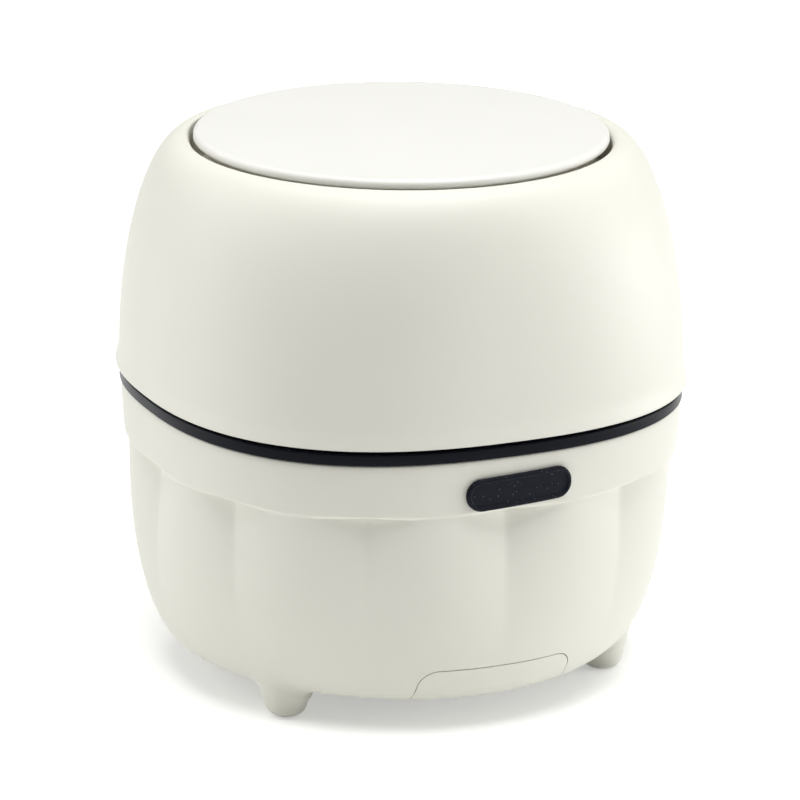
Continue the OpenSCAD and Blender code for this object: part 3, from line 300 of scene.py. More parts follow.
cream_shell = plastic("cream_shell", (0.80, 0.795, 0.715), 0.50)
cream_cover = plastic("cream_cover", (0.80, 0.795, 0.715), 0.48)
# The lid is the cover's plastic; its cream is whiter than the cover's as a painted highlight for its bright
# top.
cream_lid = plastic("cream_lid", (0.815, 0.81, 0.77), 0.46)
# The mouth ring's cream is darker and warmer than the shell's: painted shade and warm bounce light for the
# gap round the lid.
mouth_cream_painted_shade = plastic("mouth_plastic", (0.74, 0.70, 0.60), 0.52)
plain_inner = plastic("inner_plastic", (0.72, 0.71, 0.65), 0.42, grain_mm=0.7, tone=0.06)
ring_navy = plastic("navy_ring", (0.003, 0.004, 0.008), 0.30, grain_mm=0.3, depth_mm=0.006, specular=0.09)
white_acetal = plastic("latch_plastic", (0.82, 0.82, 0.80), 0.30, grain_mm=0.8, depth_mm=0.004)
print("plastics made with", grain.name)

# %% [markdown]
# ## Rubber and metal
# The badge and the grip pads are rubber, which is rougher than the plastic and has
# grit that catches the light. Screws are zinc-plated, and rod and wire are drawn
# steel, whose fine lines run along them.

# %% Rubber
def rubber(name, color, fleck, roughness=0.72, grit_mm=0.35, specular=0.4):
    """Rubber with a fine grit; a fleck here and there is paler."""
    material = plastic(name, color, roughness, grain_mm=grit_mm, depth_mm=0.05, tone=0.25, rub=0.15,
                       specular=specular)
    tree = material.node_tree
    surface = tree.nodes["Principled BSDF"]
    specks = tree.nodes.new("ShaderNodeTexVoronoi")
    place = tree.nodes.new("ShaderNodeTexCoord")
    specks.inputs["Scale"].default_value = 1000 / (1.6 * grit_mm)
    link(tree, place.outputs["Object"], specks.inputs["Vector"])
    few = tree.nodes.new("ShaderNodeMapRange")
    link(tree, specks.outputs["Distance"], few.inputs["Value"])
    few.inputs["From Min"].default_value = 0.24
    few.inputs["From Max"].default_value = 0.12
    thin = tree.nodes.new("ShaderNodeSeparateColor")
    link(tree, specks.outputs["Color"], thin.inputs[0])
    some = maths(tree, "MULTIPLY", few.outputs[0], maths(tree, "GREATER_THAN", thin.outputs[0], 0.93))
    mix = tree.nodes.new("ShaderNodeMix")
    mix.data_type = "RGBA"
    link(tree, some, mix.inputs["Factor"])
    link(tree, surface.inputs["Base Color"].links[0].from_socket, mix.inputs["A"])
    mix.inputs["B"].default_value = (*fleck, 1)
    link(tree, mix.outputs["Result"], surface.inputs["Base Color"])
    return material


badge_rubber = rubber("dark_badge", (0.006, 0.008, 0.014), (0.42, 0.44, 0.45), roughness=0.5,
                      grit_mm=0.26, specular=0.12)
pad_rubber = rubber("pad_rubber", (0.30, 0.29, 0.27), (0.45, 0.44, 0.42))

# %% Steel
draw_lines, lines_in, lines_out = new_group(
    "drawn_lines",
    [("Color", "NodeSocketColor", (0.6, 0.6, 0.6, 1)), ("Roughness", "NodeSocketFloat", 0.3),
     ("Stretch", "NodeSocketVector", (1, 1, 1)), ("Line Size", "NodeSocketFloat", 0.2)],
    [("Color", "NodeSocketColor"), ("Roughness", "NodeSocketFloat"), ("Height", "NodeSocketFloat")])
spot_at = draw_lines.nodes.new("ShaderNodeTexCoord").outputs["Object"]
pull = draw_lines.nodes.new("ShaderNodeVectorMath")
pull.operation = "MULTIPLY"
link(draw_lines, spot_at, pull.inputs[0])
link(draw_lines, lines_in.outputs["Stretch"], pull.inputs[1])
streaks = draw_lines.nodes.new("ShaderNodeTexNoise")
streaks.inputs["Detail"].default_value = 4
link(draw_lines, pull.outputs[0], streaks.inputs["Vector"])
link(draw_lines, maths(draw_lines, "DIVIDE", 1000, lines_in.outputs["Line Size"]), streaks.inputs["Scale"])
shade = draw_lines.nodes.new("ShaderNodeHueSaturation")
link(draw_lines, lines_in.outputs["Color"], shade.inputs["Color"])
streaky = maths(draw_lines, "ADD", 0.88, maths(draw_lines, "MULTIPLY", streaks.outputs["Fac"], 0.24))
link(draw_lines, streaky, shade.inputs["Value"])
link(draw_lines, shade.outputs[0], lines_out.inputs["Color"])
polish = maths(draw_lines, "MULTIPLY", maths(draw_lines, "SUBTRACT", streaks.outputs["Fac"], 0.5), 0.25)
dull = maths(draw_lines, "ADD", lines_in.outputs["Roughness"], polish, clamp=True)
link(draw_lines, dull, lines_out.inputs["Roughness"])
link(draw_lines, streaks.outputs["Fac"], lines_out.inputs["Height"])


def steel(name, color, roughness, stretch=(1, 1, 1), line_mm=0.3):
    """Steel whose fine lines are stretched along one axis."""
    material = bpy.data.materials.new(name)
    material.use_nodes = True
    tree = material.node_tree
    surface = tree.nodes["Principled BSDF"]
    detail = tree.nodes.new("ShaderNodeGroup")
    detail.node_tree = draw_lines
    detail.inputs["Color"].default_value = (*color, 1)
    detail.inputs["Roughness"].default_value = roughness
    detail.inputs["Stretch"].default_value = stretch
    detail.inputs["Line Size"].default_value = line_mm
    bump = tree.nodes.new("ShaderNodeBump")
    bump.inputs["Strength"].default_value = 0.2
    bump.inputs["Distance"].default_value = 0.004 * MM
    link(tree, detail.outputs["Color"], surface.inputs["Base Color"])
    link(tree, detail.outputs["Roughness"], surface.inputs["Roughness"])
    link(tree, detail.outputs["Height"], bump.inputs["Height"])
    link(tree, bump.outputs["Normal"], surface.inputs["Normal"])
    surface.inputs["Metallic"].default_value = 1.0
    return material


zinc_steel = steel("zinc_steel", (0.60, 0.61, 0.60), 0.34)
pin_steel = steel("pin_steel", (0.64, 0.65, 0.66), 0.24, stretch=(0.04, 1, 1))
spring_steel = steel("spring_steel", (0.46, 0.46, 0.47), 0.30, line_mm=0.15)
finishes = {m.name: m for m in (cream_shell, cream_cover, cream_lid, mouth_cream_painted_shade, plain_inner, ring_navy,
                                white_acetal, badge_rubber, pad_rubber, zinc_steel, pin_steel,
                                spring_steel)}
print(len(finishes), "finishes")

# %% [markdown]
# ## Every CAD node gets its finish
# The record names a material slot for each node. The node's own slots are given the
# finish with that name, so nothing keeps the plain colour it was packed with.

# %% Give each node its finish
slot_of = {part["node"]: part["material_slot"] for part in frame["record"]["subparts"]}
for name, piece in nodes.items():
    piece.data.materials.append(finishes[slot_of[name]])
print("nodes with a finish:", len(nodes))

# %% [markdown]
# ## The plan shape, and a tree that gives it to a turned shell
# Seen from above the bin is between a circle and a rounded square. Such a shape is a
# superellipse, and its power says how square it is: 2 is a circle. The bowl also has
# twelve flutes with a sharp valley and a full lobe. Both follow a rule, so a plain
# turned shell is made first, with its power and flute depth stored at each point,
# and a Geometry Nodes tree moves the points out to the rule.

# %% Sizes of the shells, in millimetres
waist_power, foot_power = 2.44, 1.92
body_half, rim_half, flat_half = 87.3, 87.6, 71.0
foot_h, body_h, round_h, bowl_fullness = 10.2, 84.2, 56.4, 2.22
body_wall, floor_t = 2.4, 2.4
collar_h, ledge_drop = 16.8, 1.6
lobes, flute_depth = 12, 4.2
flute_fade_h, flute_fade_power = 66.0, 1.5
rest_gap, slide_gap = 0.2, 0.4
crest_step = 0.12
rim_land, rim_flange_t = 4.3, 2.6
rim_z = foot_h + body_h
collar_z = rim_z - collar_h
floor_z = foot_h + floor_t
steps = 360


def cosd(degrees):
    return math.cos(math.radians(degrees))


def sind(degrees):
    return math.sin(math.radians(degrees))


def rounding(a0, z0, a1, z1, fullness, t):
    """A point of a corner that runs from an upright wall at (a0, z0) to a level one at (a1, z1)."""
    return (a1 + (a0 - a1) * max(0.0, math.cos(t)) ** (2 / fullness),
            z0 + (z1 - z0) * max(0.0, math.sin(t)) ** (2 / fullness))


def body_power(z):
    share = min(1, max(0, (z - foot_h) / (body_h - collar_h / 2)))
    return foot_power + (waist_power - foot_power) * share


def flute_at(z):
    return flute_depth * min(1, max(0, (z - foot_h) / flute_fade_h)) ** flute_fade_power


def bowl_half(z):
    """Half width of the bowl's rounding at a height."""
    share = min(1, max(0, (foot_h + round_h - z) / round_h))
    return flat_half + (body_half - flat_half) * (1 - share ** bowl_fullness) ** (1 / bowl_fullness)


def bowl_under(x, y):
    """Height of the bowl's underside over a point of the plan, found by halving."""
    reach, t = math.hypot(x, y), math.atan2(y, x)
    sunk_here = crest_step + (1 - abs(math.sin(lobes / 2 * t))) * (1 - crest_step)
    low, high = foot_h, foot_h + round_h
    for _ in range(30):
        z = (low + high) / 2
        power_here = body_power(z)
        spread_here = (abs(math.cos(t)) ** power_here + abs(math.sin(t)) ** power_here) ** (1 / power_here)
        if bowl_half(z) / spread_here - flute_at(z) * sunk_here > reach:
            high = z
        else:
            low = z
    return high


# %% The tree that squares and flutes a turned shell
def geometry_tree(name, inputs):
    """A Geometry Nodes tree with a mesh in and out, and named inputs."""
    tree = bpy.data.node_groups.new(name, "GeometryNodeTree")
    tree.is_modifier = True
    tree.interface.new_socket("Geometry", in_out="INPUT", socket_type="NodeSocketGeometry")
    for label, kind, value in inputs:
        socket = tree.interface.new_socket(label, in_out="INPUT", socket_type=kind)
        if value is not None:
            socket.default_value = value
    tree.interface.new_socket("Geometry", in_out="OUTPUT", socket_type="NodeSocketGeometry")
    return tree, tree.nodes.new("NodeGroupInput"), tree.nodes.new("NodeGroupOutput")


def stored(tree, name):
    """Reads a named number that is stored at each point."""
    node = tree.nodes.new("GeometryNodeInputNamedAttribute")
    node.data_type = "FLOAT"
    node.inputs["Name"].default_value = name
    return node.outputs["Attribute"]


squircle, sq_in, sq_out = geometry_tree(
    "squared_and_fluted",
    [("Lobes", "NodeSocketFloat", 12.0), ("Crest Step", "NodeSocketFloat", 0.0),
     ("Finish", "NodeSocketMaterial", None)])
place = squircle.nodes.new("GeometryNodeInputPosition")
parts = squircle.nodes.new("ShaderNodeSeparateXYZ")
link(squircle, place.outputs[0], parts.inputs[0])
px, py, pz = parts.outputs
squares = maths(squircle, "ADD", maths(squircle, "MULTIPLY", px, px), maths(squircle, "MULTIPLY", py, py))
radius = maths(squircle, "SQRT", squares)
angle = maths(squircle, "ARCTAN2", py, px)
power = stored(squircle, "power")
cos_p = maths(squircle, "POWER", maths(squircle, "ABSOLUTE", maths(squircle, "COSINE", angle)), power)
sin_p = maths(squircle, "POWER", maths(squircle, "ABSOLUTE", maths(squircle, "SINE", angle)), power)
root = maths(squircle, "DIVIDE", 1.0, power)
spread = maths(squircle, "POWER", maths(squircle, "ADD", cos_p, sin_p), root)
half_lobes = maths(squircle, "MULTIPLY", sq_in.outputs["Lobes"], 0.5)
lobe = maths(squircle, "ABSOLUTE", maths(squircle, "SINE", maths(squircle, "MULTIPLY", angle, half_lobes)))
valley = maths(squircle, "SUBTRACT", 1.0, lobe)
step_share = sq_in.outputs["Crest Step"]
below_crest = maths(squircle, "MULTIPLY", valley, maths(squircle, "SUBTRACT", 1.0, step_share))
sunk = maths(squircle, "ADD", step_share, below_crest)
flute_here = maths(squircle, "MULTIPLY", sunk, stored(squircle, "flute"))
reach = maths(squircle, "SUBTRACT", maths(squircle, "DIVIDE", radius, spread), flute_here)
join = squircle.nodes.new("ShaderNodeCombineXYZ")
link(squircle, maths(squircle, "MULTIPLY", reach, maths(squircle, "COSINE", angle)), join.inputs[0])
link(squircle, maths(squircle, "MULTIPLY", reach, maths(squircle, "SINE", angle)), join.inputs[1])
link(squircle, pz, join.inputs[2])
move = squircle.nodes.new("GeometryNodeSetPosition")
link(squircle, sq_in.outputs["Geometry"], move.inputs["Geometry"])
link(squircle, join.outputs[0], move.inputs["Position"])
solid = squircle.nodes.new("GeometryNodeRealizeInstances")
link(squircle, move.outputs[0], solid.inputs[0])
coat = squircle.nodes.new("GeometryNodeSetMaterial")
link(squircle, solid.outputs[0], coat.inputs["Geometry"])
link(squircle, sq_in.outputs["Finish"], coat.inputs["Material"])
link(squircle, coat.outputs[0], sq_out.inputs[0])
print("tree:", squircle.name)


# %% Turn a shell and run a tree on it
def new_piece(name, mesh):
    piece = bpy.data.objects.new(name, mesh)
    scene.collection.objects.link(piece)
    return piece


def turned(name, rings, closed_loop, segments=steps):
    """A shell turned from rings (half width, height, power, flute), in millimetres."""
    count = len(rings)
    points = []
    for a, z, _, _ in rings:
        for j in range(segments):
            t = 2 * math.pi * j / segments
            points.append((a * MM * math.cos(t), a * MM * math.sin(t), z * MM))
    faces = []
    for i in range(count if closed_loop else count - 1):
        low, high = i * segments, ((i + 1) % count) * segments
        for j in range(segments):
            k = (j + 1) % segments
            faces.append((low + j, low + k, high + k, high + j))
    if not closed_loop:
        faces.append(tuple(range(segments - 1, -1, -1)))
        faces.append(tuple((count - 1) * segments + j for j in range(segments)))
    mesh = bpy.data.meshes.new(name)
    mesh.from_pydata(points, [], faces)
    for label, index, scale in (("power", 2, 1.0), ("flute", 3, MM)):
        values = np.repeat(np.array([r[index] for r in rings], np.float32) * scale, segments)
        mesh.attributes.new(label, "FLOAT", "POINT").data.foreach_set("value", values)
    return new_piece(name, mesh)


def run_tree(piece, tree, **values):
    """Sets a tree's inputs by their identifiers, runs it, and keeps the plain mesh."""
    modifier = piece.modifiers.new(tree.name, "NODES")
    modifier.node_group = tree
    sockets = [s for s in tree.interface.items_tree if s.item_type == "SOCKET" and s.in_out == "INPUT"]
    keys = {s.name: s.identifier for s in sockets}
    for label, value in values.items():
        modifier[keys[label.replace("_", " ")]] = value
    piece.update_tag()
    bpy.context.view_layer.update()
    ready = piece.evaluated_get(bpy.context.evaluated_depsgraph_get())
    mesh = bpy.data.meshes.new_from_object(ready)
    piece.modifiers.clear()
    piece.data = mesh
    return piece


def smooth(piece, degrees=35):
    """Smooth shading that stays crisp over edges sharper than this."""
    mesh = piece.data
    mesh.polygons.foreach_set("use_smooth", [True] * len(mesh.polygons))
    mesh.set_sharp_from_angle(angle=math.radians(degrees))
    return piece


def squared_shell(name, rings, closed_loop, finish, crest=0.0):
    shell = turned(name, rings, closed_loop)
    piece = run_tree(shell, squircle, Lobes=float(lobes), Crest_Step=crest, Finish=finish)
    for label in ("power", "flute"):
        if label in piece.data.attributes:
            piece.data.attributes.remove(piece.data.attributes[label])
    print(name, "faces:", len(piece.data.polygons))
    return piece


# %% [markdown]
# ## Cutting and joining solids
# Openings, slots and bosses come from solids that are cut away or added. The exact
# boolean keeps the shells closed, so their walls stay real walls from every side.

# %% Booleans and prisms
def boolean(piece, tool, operation):
    """Cuts tool away from piece, joins it, or keeps what both share."""
    modifier = piece.modifiers.new(operation, "BOOLEAN")
    modifier.operation = operation
    modifier.object = tool
    modifier.solver = "EXACT"
    bpy.context.view_layer.update()
    ready = piece.evaluated_get(bpy.context.evaluated_depsgraph_get())
    mesh = bpy.data.meshes.new_from_object(ready)
    piece.modifiers.clear()
    piece.data = mesh
    bpy.data.objects.remove(tool)
    return piece


def block(name, low, high):
    """A box between two corners, in millimetres."""
    (x0, y0, z0), (x1, y1, z1) = low, high
    corners = ((x0, y0), (x1, y0), (x1, y1), (x0, y1))
    points = [(x * MM, y * MM, z * MM) for z in (z0, z1) for x, y in corners]
    faces = [(3, 2, 1, 0), (4, 5, 6, 7), (0, 1, 5, 4), (1, 2, 6, 5), (2, 3, 7, 6), (3, 0, 4, 7)]
    mesh = bpy.data.meshes.new(name)
    mesh.from_pydata(points, [], faces)
    return new_piece(name, mesh)


def pillar(name, centre, r, z0, z1, segments=48):
    """An upright cylinder, in millimetres."""
    x, y = centre
    turns = [2 * math.pi * j / segments for j in range(segments)]
    ring = [(x + r * math.cos(t), y + r * math.sin(t)) for t in turns]
    points = [(px * MM, py * MM, z * MM) for z in (z0, z1) for px, py in ring]
    faces = [tuple(range(segments - 1, -1, -1)), tuple(range(segments, 2 * segments))]
    faces += [(j, (j + 1) % segments, segments + (j + 1) % segments, segments + j) for j in range(segments)]
    mesh = bpy.data.meshes.new(name)
    mesh.from_pydata(points, [], faces)
    return new_piece(name, mesh)


def prism_along_y(name, outline, y0, y1):
    """A solid whose outline lies in X and Z and which runs from y0 to y1, in millimetres."""
    count = len(outline)
    points = [(x * MM, y * MM, z * MM) for y in (y0, y1) for x, z in outline]
    faces = [tuple(range(count)), tuple(range(2 * count - 1, count - 1, -1))]
    faces += [(j, count + j, count + (j + 1) % count, (j + 1) % count) for j in range(count)]
    mesh = bpy.data.meshes.new(name)
    mesh.from_pydata(points, [], faces)
    return new_piece(name, mesh)


# %% [markdown]
# ## The fluted bowl
# The bowl is one moulding: a flat underside, a full rounded foot, fluted sides, a
# smooth collar over them, and a rim that turns inwards to carry the bucket. Its
# profile is written from the underside out and over the rim to the floor inside.

# %% Profile of the bowl
round_top = foot_h + round_h


def bowl_side(inset, low, count):
    side = []
    for i in range(count + 1):
        t = math.pi / 2 * (1 - i / count)
        a, z = rounding(body_half - inset, round_top, flat_half - inset, low, bowl_fullness, t)
        side.append((a, z, body_power(z), flute_at(z)))
    return side


def lift_to_ledge(inset):
    """From the top of the rounding to the full depth of the flutes, under the collar."""
    top = collar_z - ledge_drop
    return [(body_half - inset, z, body_power(z), flute_at(z)) for z in np.linspace(round_top + 1.5, top, 6)]


def ledge(inset, reverse=False):
    """The collar's lower lip: it comes forward over the flutes in a soft step."""
    full = flute_at(collar_z)
    rows = [(body_half - inset, collar_z - ledge_drop * (1 - s), body_power(collar_z), full * (1 - k))
            for s, k in ((0.18, 0.12), (0.36, 0.36), (0.55, 0.66), (0.75, 0.88), (1.0, 0.98), (1.35, 1.0))]
    return rows[::-1] if reverse else rows


def bowl_profile():
    outer = bowl_side(0, foot_h, 34) + lift_to_ledge(0) + ledge(0)
    rim = []
    for share in np.linspace(0.2, 1, 6):
        z = collar_z + 0.6 + (rim_z - 0.6 - collar_z - 0.6) * share
        rim.append((body_half + (rim_half - body_half) * share, z, body_power(z), 0))
    bevel = 0.6
    for t in (30, 60, 90):
        rim.append((rim_half - bevel * (1 - cosd(t)), rim_z - bevel * (1 - sind(t)), waist_power, 0))
    rim.append((rim_half - rim_land + 0.3, rim_z, waist_power, 0))
    rim.append((rim_half - rim_land, rim_z - 0.3, waist_power, 0))
    rim.append((rim_half - rim_land, rim_z - rim_flange_t, body_power(rim_z - rim_flange_t), 0))
    rim.append((rim_half - body_wall, rim_z - rim_flange_t - rim_land + body_wall, waist_power, 0))
    inner = ledge(body_wall, True) + lift_to_ledge(body_wall)[::-1] + bowl_side(body_wall, floor_z, 24)[::-1]
    return outer + rim + inner


bowl = squared_shell("fluted_bowl", bowl_profile(), False, cream_shell, crest_step)

# %% [markdown]
# ## Four stub feet and the drawer's opening
# A foot is a short cone with a round end and a small hollow for its grip pad. At its
# top it runs into the bowl's rising underside in a soft hollow curve, so the height
# of that curve is worked out for each direction round the foot. The drawer's opening
# is a prism with two round corners, cut straight through from the front.

# %% Shape the feet
foot_x, foot_y = 56.4, 40.0
foot_low_r, foot_top_r, foot_round, foot_hollow = 6.9, 8.4, 4.2, 3.2
pad_r, pad_t, pad_proud = 2.6, 1.4, 0.3
foot_root = 1.0


def skinned(name, low, sides, high):
    """A closed solid skinned over upright rows of points, one row for each direction."""
    count, rows = len(sides), len(sides[0])
    points = [low] + [side[i] for i in range(rows) for side in sides] + [high]
    faces = []
    for j in range(count):
        k = (j + 1) % count
        faces.append((0, 1 + k, 1 + j))
        for i in range(rows - 1):
            a, b = 1 + i * count, 1 + (i + 1) * count
            faces.append((a + j, a + k, b + k, b + j))
        top = 1 + (rows - 1) * count
        faces.append((top + j, top + k, len(points) - 1))
    mesh = bpy.data.meshes.new(name)
    mesh.from_pydata([tuple(c * MM for c in p) for p in points], [], faces)
    return new_piece(name, mesh)


def lathe(name, profile, segments=72):
    """A closed solid turned from (radius, height) points that start and end on the axis."""
    sides = []
    for j in range(segments):
        c, s = math.cos(2 * math.pi * j / segments), math.sin(2 * math.pi * j / segments)
        sides.append([(r * c, r * s, z) for r, z in profile[1:-1]])
    return skinned(name, (0, 0, profile[0][1]), sides, (0, 0, profile[-1][1]))


def foot_rows(cx, cy, c, s):
    """Radius and height up one side of a foot, from the pad's hollow into the bowl's wall."""
    def under(r):
        return bowl_under(cx + r * c, cy + r * s)

    base, start = pad_proud + foot_round, under(foot_top_r) - foot_hollow
    rows = [(pad_r + 0.05, pad_t), (pad_r + 0.05, pad_proud)]
    for t in range(0, 91, 10):
        rows.append((foot_low_r - foot_round + foot_round * sind(t), pad_proud + foot_round * (1 - cosd(t))))
    for k in range(1, 9):
        rows.append((foot_low_r + (foot_top_r - foot_low_r) * k / 8, base + (start - base) * k / 8))
    for t in range(10, 91, 10):
        r = foot_top_r + foot_hollow * (1 - cosd(t))
        rows.append((r, under(r) - foot_hollow * (1 - sind(t)) + 0.03 * t / 90))
    for r in (foot_top_r + foot_hollow - 0.3, 8, 5, 2.5):
        rows.append((r, under(r) + foot_root))
    return rows


def foot(cx, cy, segments=72):
    sides = []
    for j in range(segments):
        c, s = math.cos(2 * math.pi * j / segments), math.sin(2 * math.pi * j / segments)
        sides.append([(cx + r * c, cy + r * s, z) for r, z in foot_rows(cx, cy, c, s)])
    return skinned("foot", (cx, cy, pad_t), sides, (cx, cy, bowl_under(cx, cy) + foot_root))


def merged(name, pieces):
    """Several closed pieces in one mesh."""
    bm = bmesh.new()
    for piece in pieces:
        bm.from_mesh(piece.data)
        bpy.data.objects.remove(piece)
    mesh = bpy.data.meshes.new(name)
    bm.to_mesh(mesh)
    bm.free()
    return new_piece(name, mesh)


feet = merged("feet", [foot(sx * foot_x, sy * foot_y) for sx in (-1, 1) for sy in (-1, 1)])
print("feet faces:", len(feet.data.polygons))

# %% Join the feet and cut the drawer's opening
drawer_half, drawer_top, drawer_round, drawer_seam, drawer_y = 26.4, 13.2, 6.0, 0.3, 56.0
tray_half, tray_h, tray_wall, housing_wall, tab_w = 23.2, 9, 1.4, 1.6, 9
far_y = -100  # well in front of the bin


def drawer_outline(inset):
    half, top, r = drawer_half - inset, foot_h + drawer_top - inset, drawer_round - inset
    arc = [(half - r + r * cosd(t), top - r + r * sind(t)) for t in range(0, 91, 10)]
    return [(-half, -1), (half, -1)] + arc + [(-x, z) for x, z in arc[::-1]]


bowl = boolean(bowl, feet, "UNION")
bowl = boolean(bowl, prism_along_y("drawer_cut", drawer_outline(0), far_y, -drawer_y), "DIFFERENCE")
boss_x, boss_y, housing_y = tray_half + slide_gap + housing_wall + tab_w / 2 + 1, 23.0, -16
floor_boss_z, screw_r, screw_play = floor_z + 4.2, 1.25, 0.05
boss_places = [(sx * boss_x, housing_y + sy * boss_y) for sx in (-1, 1) for sy in (-1, 1)]
for x, y in boss_places:
    bowl = boolean(bowl, pillar("boss", (x, y), screw_r + 2, floor_z - 1.2, floor_boss_z), "UNION")
    boss_hole = pillar("boss_hole", (x, y), screw_r + screw_play, floor_z, floor_boss_z + 1)
    bowl = boolean(bowl, boss_hole, "DIFFERENCE")
smooth(bowl)
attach(bowl, "base")
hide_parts("body_shell")
print("bowl faces:", len(bowl.data.polygons))

# %% [markdown]
# ## The drawer's front
# The front is the very piece of the bowl that the opening took away, less the seam
# round it, so its skin runs on from the bowl's. Behind it a web and ribs carry the
# screws of the tray.

# %% Cut the drawer's front from a second bowl
front = squared_shell("drawer_front_skin", bowl_profile(), False, cream_shell, crest_step)
taken_out = prism_along_y("drawer_keep", drawer_outline(drawer_seam), far_y, -drawer_y - drawer_seam)
front = boolean(front, taken_out, "INTERSECT")
web_t = 3.0
web_y = -drawer_y - drawer_seam - web_t
web_low, web_top = floor_z - 1.2, floor_z + slide_gap + tray_h - 1
web = block("web", (-tray_half + 2, web_y, web_low), (tray_half - 2, web_y + web_t, web_top))
front = boolean(front, web, "UNION")
rib_xs, rib_t, drawer_screw_x = (-8, 0, 8), 1.8, 15


def front_of(x, half, power):
    """How far a squared outline of this half width reaches to the front at x."""
    return (half ** power - abs(x) ** power) ** (1 / power)


def prism_along_x(name, outline, x0, x1):
    """A solid whose outline lies in Y and Z and which runs from x0 to x1, in millimetres."""
    count = len(outline)
    points = [(x * MM, y * MM, z * MM) for x in (x0, x1) for y, z in outline]
    faces = [tuple(range(count - 1, -1, -1)), tuple(range(count, 2 * count))]
    faces += [(j, (j + 1) % count, count + (j + 1) % count, count + j) for j in range(count)]
    mesh = bpy.data.meshes.new(name)
    mesh.from_pydata(points, [], faces)
    return new_piece(name, mesh)


for x in rib_xs:
    low_y = front_of(x, bowl_half(floor_z) - body_wall / 2, body_power(floor_z))
    top_y = front_of(x, bowl_half(web_top) - body_wall / 2, body_power(web_top)) - flute_at(web_top) / 2
    rib = [(-low_y, web_low), (web_y + 0.01, web_low), (web_y + 0.01, web_top), (-top_y, web_top)]
    front = boolean(front, prism_along_x("rib", rib, x - rib_t / 2, x + rib_t / 2), "UNION")
drawer_screw_z = (floor_z + web_top) / 2
for x in (-drawer_screw_x, drawer_screw_x):
    drill = pillar("drill", (0, 0), screw_r + screw_play, 0, web_t + 1)
    to_web = Matrix.Translation((x * MM, (web_y + web_t + 0.01) * MM, drawer_screw_z * MM))
    drill.data.transform(to_web @ Matrix.Rotation(math.radians(90), 4, "X"))
    front = boolean(front, drill, "DIFFERENCE")
smooth(front)
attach(front, "drawer")
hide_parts("drawer_front")
print("drawer front faces:", len(front.data.polygons))

# %% [markdown]
# ## The domed cover
# The cover flares a little at its bottom edge, stands upright, and rolls over to a
# round mouth. Its power falls from the waist's to a circle's on the way up, so the
# rounded square turns into the round mouth without a line.

# %% Profile of the cover
ring_half, ring_bevel, ring_land, ring_face_h, spigot_h, cover_gap = 88.2, 0.35, 1.5, 3.7, 4.7, 1.3
land_z = rim_z + rest_gap + ring_face_h
spigot_z = land_z + spigot_h
cover_z, cover_h, cover_band = land_z + cover_gap, 77.0, 6.2
mouth_z = cover_z + cover_h
cover_half, cover_mid, cover_wall, cover_fullness = 89.4, 88.35, 2.3, 2.1
mouth_r, mouth_round, recess_h, recess_wall = 69.5, 0.8, 13.6, 2.0
recess_z = mouth_z - recess_h
spigot_out = ring_half - ring_bevel - ring_land


def cover_power(z):
    return waist_power + (2 - waist_power) * min(1, max(0, (z - cover_z) / cover_h)) ** 1.5


def cover_profile():
    lip_a = mouth_r + mouth_round
    in_a1 = lip_a - 0.6
    wall_half, out_r = cover_mid - cover_wall, mouth_r + recess_wall
    flare = ((0.35, 0), (0.08, 0.12), (0, 0.45), (0.1, 1.1), (0.3, 2.0), (0.62, 3.4), (0.86, 4.8))
    rows = [(cover_half - inset, cover_z + rise) for inset, rise in flare]
    for i in range(65):
        t = math.pi / 2 * i / 64
        rows.append(rounding(cover_mid, cover_z + cover_band, lip_a, mouth_z, cover_fullness, t))
    outer = [(a, z, cover_power(z), 0) for a, z in rows]
    for t in range(10, 91, 10):
        outer.append((mouth_r + mouth_round * (1 - sind(t)), mouth_z - mouth_round * (1 - cosd(t)), 2, 0))
    outer += [(mouth_r, mouth_z - down, 2, 0) for down in (1.4, 2.0, 2.4, 4.6, 5.0)]
    recess = [(mouth_r, recess_z + 0.2, 2, 0), (mouth_r + 0.2, recess_z, 2, 0), (out_r, recess_z, 2, 0)]
    last = math.acos(((out_r - in_a1) / (wall_half - in_a1)) ** (cover_fullness / 2))
    inner = []
    for i in range(40, -1, -1):
        t, under_lip = last * i / 40, mouth_z - cover_wall
        a, z = rounding(wall_half, cover_z + cover_band, in_a1, under_lip, cover_fullness, t)
        inner.append((a, z, cover_power(z), 0))
    ledge_z, ledge_out = spigot_z + rest_gap, 2.6
    tail = [(wall_half, ledge_z + 4.6), (wall_half - ledge_out, ledge_z + 2.0),
            (wall_half - ledge_out, ledge_z), (spigot_out + slide_gap, ledge_z),
            (spigot_out + slide_gap, cover_z)]
    inner = [r for r in inner if r[1] > ledge_z + 4.7]
    return outer + recess + inner + [(a, z, cover_power(z), 0) for a, z in tail]


dome = squared_shell("domed_cover", cover_profile(), True, cream_cover)

# %% Roll the mouth's lip in towards the lid
# The lip is a full soft round at the front and sides. Behind, the lid's edge swings
# back as it opens, so there the lip stays small.
lip_in, lip_deep, rows_deep = 1.6, 2.4, 4.7
small_until, full_after = 50, 75  # degrees from the rear
points = np.empty(len(dome.data.vertices) * 3, np.float32)
dome.data.vertices.foreach_get("co", points)
points = points.reshape(-1, 3).astype(float) / MM
reach_now = np.hypot(points[:, 0], points[:, 1])
from_rear = np.degrees(np.arccos(np.clip(points[:, 1] / reach_now, -1, 1)))
share = np.clip((from_rear - small_until) / (full_after - small_until), 0, 1)
share = share * share * (3 - 2 * share)
down = mouth_z - points[:, 2]
round_out = np.sqrt(np.clip(1 - (1 - np.clip(down / lip_deep, 0, 1)) ** 2, 0, 1))
lip_r = mouth_r + mouth_round - (mouth_round + lip_in) * round_out
on_lip = (reach_now < mouth_r + mouth_round - 0.001) & (down < rows_deep)
wanted = np.where(on_lip, np.minimum(reach_now, lip_r * share + reach_now * (1 - share)), reach_now)
points[:, :2] *= (wanted / reach_now)[:, None]
dome.data.vertices.foreach_set("co", (points * MM).astype(np.float32).ravel())
dome.data.update()
print("lip radius at the front, mm:", round(float(wanted[on_lip].min()), 2))

